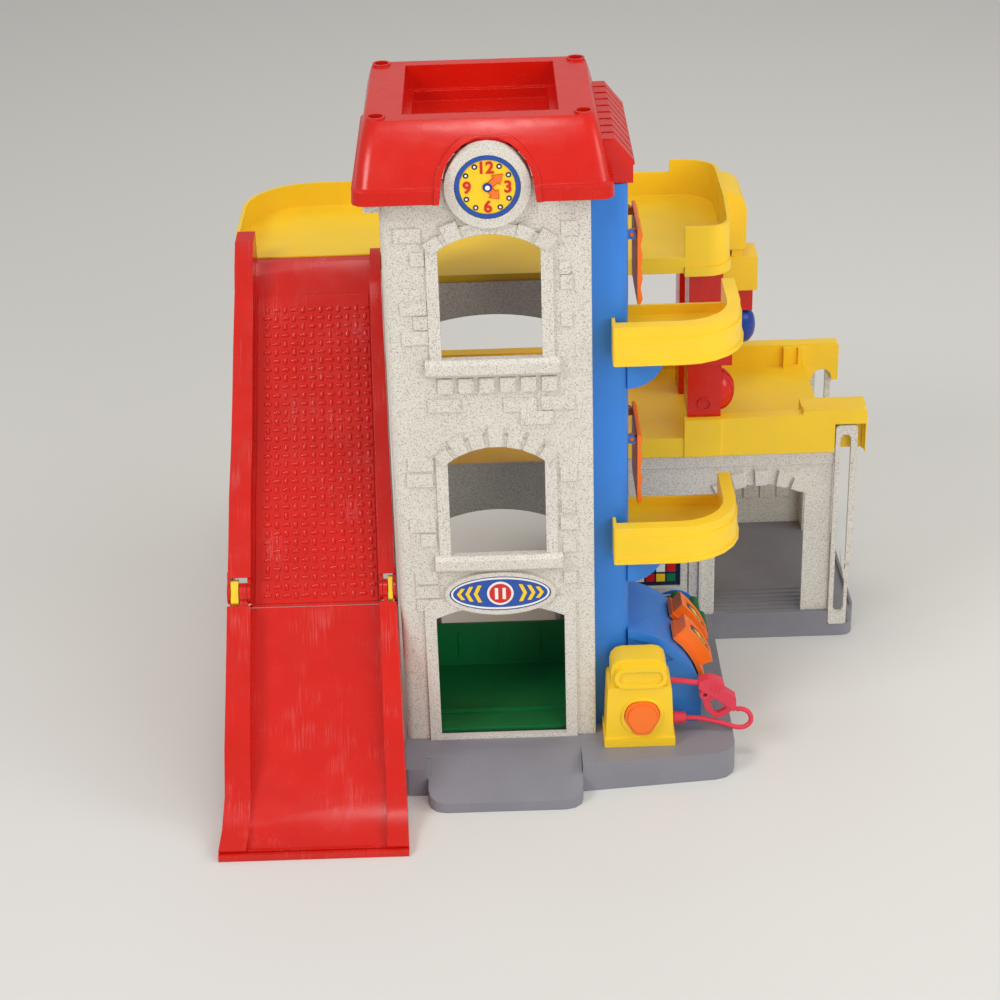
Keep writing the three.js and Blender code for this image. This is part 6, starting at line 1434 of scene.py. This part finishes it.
@dataclass
class LeverPads:
    """A plain printed arrow in the sunk seat of each lever's thumb pad.

    The arrow holds shares of the way along the pad with half widths, from its foot to its tip.
    """

    centre: Pair = (44.0, 44.0)
    radius: float = 85.0
    ends: Pair = (25.5, 41.5)
    middles: tuple[tuple[str, float], ...] = (("lever_front", -92.5), ("lever_rear", -56.5))
    half: float = 5.4
    field_steps: int = 8
    field_film: float = 0.25
    blunt: float = 0.12
    full: float = 0.4
    arrow: tuple[Pair, ...] = (
        (0.14, 1.3), (0.3, 1.3), (0.45, 1.3), (0.5, 1.3), (0.52, 3.6), (0.65, 2.3), (0.78, 1.1), (0.88, 0.2))
    arrow_film: float = 0.45

    def patch(self, middle: float, rows: Sequence[Pair], out: float, bm: Draft) -> None:
        """Adds one curved patch of film.

        Args:
            middle: its middle along the lever's axis in millimetres.
            rows: shares of the way along the pad with half widths in millimetres.
            out: how far it stands proud in millimetres.
            bm: the mesh that it goes into.
        """
        low, high = self.ends
        foot = mm(self.centre[0], middle, self.centre[1])
        rings = []
        for share, half in rows:
            angle = math.radians(low + (high - low) * share)
            way = Vector((math.cos(angle), 0, math.sin(angle)))
            rings.append([foot + way * (self.radius + rise) * MM + mm(0, side * half, 0)
                          for side, rise in ((-1, 0.0), (1, 0.0), (1, out), (-1, out))])
        join_rings(rings, bm)

    def field(self) -> list[Pair]:
        """The rows of the dark field, a full oval with blunt ends.

        Returns:
            Shares of the way along the pad with half widths in millimetres.
        """
        shares = [i / self.field_steps for i in range(self.field_steps + 1)]
        rises = [math.sin(math.pi * (self.blunt + (1 - 2 * self.blunt) * share)) for share in shares]
        return [(share, self.half * rise ** self.full) for share, rise in zip(shares, rises)]

    def make(self) -> None:
        """Builds the field and the arrow on both pads."""
        for body, middle in self.middles:
            for name, rows, out, ink in (("field", self.field(), self.field_film, INK_NAVY),
                                         ("arrow", self.arrow, self.arrow_film, INK_YELLOW)):
                make_piece(body + "_" + name, partial(self.patch, middle, rows, out), ink, body, "orange")


@dataclass
class TrayFloor:
    """The low raised lines moulded into the floor of the roof's tray: an oval and three short bars."""

    centre: Pair = (-49.5, -36.0)
    floor: float = 513.0
    half: Pair = (41.0, 25.0)
    line: float = 1.2
    rise: float = 0.5
    bars: Point = (-12.0, 0.0, 12.0)
    bar_half: float = 13.0
    sides: int = 96
    ease: float = 0.15

    def fill(self, bm: Draft) -> None:
        """Adds the oval line, then the bars within it, on a face that looks to the front.

        Args:
            bm: the mesh that it goes into.
        """
        wide, tall = self.half
        raised_ring(Vector((0, 0, 0)), wide * MM, (wide - self.line) * MM, self.rise * MM, bm,
                    sides=self.sides, squeeze=tall / wide)
        for x in self.bars:
            plate([mm(x + a * self.line / 2, 0, b * self.bar_half) for a, b in
                   ((-1, -1), (1, -1), (1, 1), (-1, 1))], mm(0, -self.rise, 0), bm)

    def make(self) -> None:
        """Builds the lines in one mesh and lays it on the floor."""
        mesh = mesh_of("tray lines", self.fill, self.ease * MM)
        mesh.transform(Matrix.Translation(mm(*self.centre, self.floor))
                       @ Matrix.Rotation(math.radians(-90), 4, "X"))
        put_on(object_of("roof_tray_lines", mesh, ROOF_RED), STILL, "red")


@dataclass
class ApronStep:
    """The strip and the two low walls that close the base plate's step beside its sloping apron."""

    left: float = -108.95
    skin: float = -105.45
    right: float = 15.35
    wall: float = 2.0
    gap: float = 0.05
    slope: tuple[Pair, ...] = ((-171.3, 17.3), (-154.7, 22.34))

    def fill(self, bm: Draft) -> None:
        """Adds the strip beside the apron's skin, then a wall at each side.

        Args:
            bm: the mesh that it goes into.
        """
        (foot, _), (_, top) = self.slope
        under = [(y, z - self.wall) for y, z in reversed(self.slope)]
        strip = [*self.slope, *under]
        step = [(foot, top), self.slope[1], *under]
        for x, width, profile in ((self.left, self.skin - self.left, strip),
                                  (self.left - self.wall, self.wall - self.gap, step),
                                  (self.right, self.wall, step)):
            plate([mm(x, y, z) for y, z in profile], mm(width, 0, 0), bm)

    def make(self) -> None:
        """Builds them in one mesh on the base."""
        make_piece("apron_step", self.fill, BASE_GREY, STILL, "grey_base")


@dataclass
class BackScrews:
    """The cross-head screws that hold the stone backs on, in columns and rows."""

    tower: tuple[tuple[float, ...], tuple[float, ...]] = ((-112.0, 16.0), (62.0, 168.0, 343.0, 470.0))
    low: tuple[tuple[float, ...], tuple[float, ...]] = ((26.0, 232.0), (40.0, 160.0))
    backs: Pair = (22.0, 226.0)

    def make(self) -> None:
        """Repeats one screw over both backs."""
        spots = [(x, y, z) for (columns, rows), y in zip((self.tower, self.low), self.backs)
                 for x in columns for z in rows]
        places = [(mm(x, y, z), Vector((0, 1, 0)), Vector((math.cos(x + z), 0, math.sin(x + z))))
                  for x, y, z in spots]
        screw = mesh_of("screw template", Screw().fill)
        put_on(copies_at("back_screws", places, screw, STEEL), STILL, "steel")


@dataclass
class LiftLine:
    """The line that the car hangs on, a three-lobed rope with its braid."""

    x: float = 31.0
    y: float = 12.0
    low: float = 58.3
    high: float = 473.7
    radius: float = 0.8
    keep: float = 0.194
    sides: int = 12
    rings: int = 140
    lay: float = 14.0
    lobes: int = 3
    lobe_share: float = 0.14
    smooth: float = 60.0

    def fill(self, bm: Draft) -> None:
        """Adds the rope's rings, which turn as they rise.

        Args:
            bm: the mesh that it goes into.
        """
        rings = []
        for k in range(self.rings + 1):
            z = self.low + (self.high - self.low) * k / self.rings
            turn = math.tau * (z - self.low) / self.lay
            row = []
            for angle in turns(self.sides):
                hollow = (1 + math.cos(self.lobes * (angle - turn))) / 2
                radius = self.radius * (1 - self.lobe_share * hollow)
                row.append(mm(self.x + radius * math.cos(angle), self.y + radius * math.sin(angle), z))
            rings.append(row)
        join_rings(rings, bm)

    def make(self) -> None:
        """Builds the rope and gives it a mesh of its own."""
        rope = make_piece("lift_rope", self.fill, LINE, STILL, "line", "lift_line", smooth=self.smooth)
        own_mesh(rope)


# The carried-over nodes


def smoothing_tree() -> Tree:
    """The tree that shades a node's loose triangles smoothly, apart from its real edges.

    Returns:
        The tree, which is built on its first use.
    """
    name = "smooth faces"
    tree = bpy.data.node_groups.get(name)
    if tree:
        return tree
    tree = bpy.data.node_groups.new(name, "GeometryNodeTree")
    tree.interface.new_socket("Geometry", in_out="INPUT", socket_type="NodeSocketGeometry")
    tree.interface.new_socket("Angle", in_out="INPUT", socket_type="NodeSocketFloat")
    tree.interface.new_socket("Geometry", in_out="OUTPUT", socket_type="NodeSocketGeometry")
    given = tree.nodes.new("NodeGroupInput").outputs
    merged = add_node(tree, "GeometryNodeMergeByDistance", {0: given["Geometry"], "Distance": NODE_MERGE})
    turn = add_node(tree, "GeometryNodeInputMeshEdgeAngle").outputs["Unsigned Angle"]
    soft = add_node(tree, "FunctionNodeCompare", {"A": turn, "B": given["Angle"]}, operation="LESS_EQUAL")
    faces = add_node(tree, "GeometryNodeSetShadeSmooth", {0: merged.outputs[0], "Shade Smooth": True},
                     domain="FACE")
    edges = add_node(tree, "GeometryNodeSetShadeSmooth", {
        0: faces.outputs[0], "Shade Smooth": soft.outputs[0]}, domain="EDGE")
    add_node(tree, "NodeGroupOutput", {0: edges.outputs[0]})
    return tree


def soften(node: bpy.types.Object, angle: float = 34.0) -> None:
    """Shades a carried-over node smoothly.

    Args:
        node: the CAD node's object.
        angle: the angle in degrees over which an edge stays sharp.
    """
    tree = smoothing_tree()
    modifier = node.modifiers.new(tree.name, "NODES")
    modifier.node_group = tree
    socket = next(s for s in tree.interface.items_tree if s.name == "Angle")
    modifier[socket.identifier] = math.radians(angle)


def dress_nodes() -> None:
    """Gives each carried-over node its finish and smooth shading."""
    for finish, names in NODE_FINISH.items():
        for name in names:
            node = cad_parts[name]
            node.data.materials.clear()
            node.data.materials.append(finish.material())
            soften(node)
            log.info("%s: %s", name, finish.name)


def main() -> None:
    """Builds the room and each sub-assembly in order."""
    Room().make()
    PumpHose().make()
    dress_nodes()
    for maker in (Ramp(), Clock(), Sign(), Picture(), LeverPads(), TrayFloor(), ApronStep(), BackScrews(),
                  LiftLine()):
        maker.make()
    bpy.context.view_layer.update()


if __name__ == "__main__":
    main()
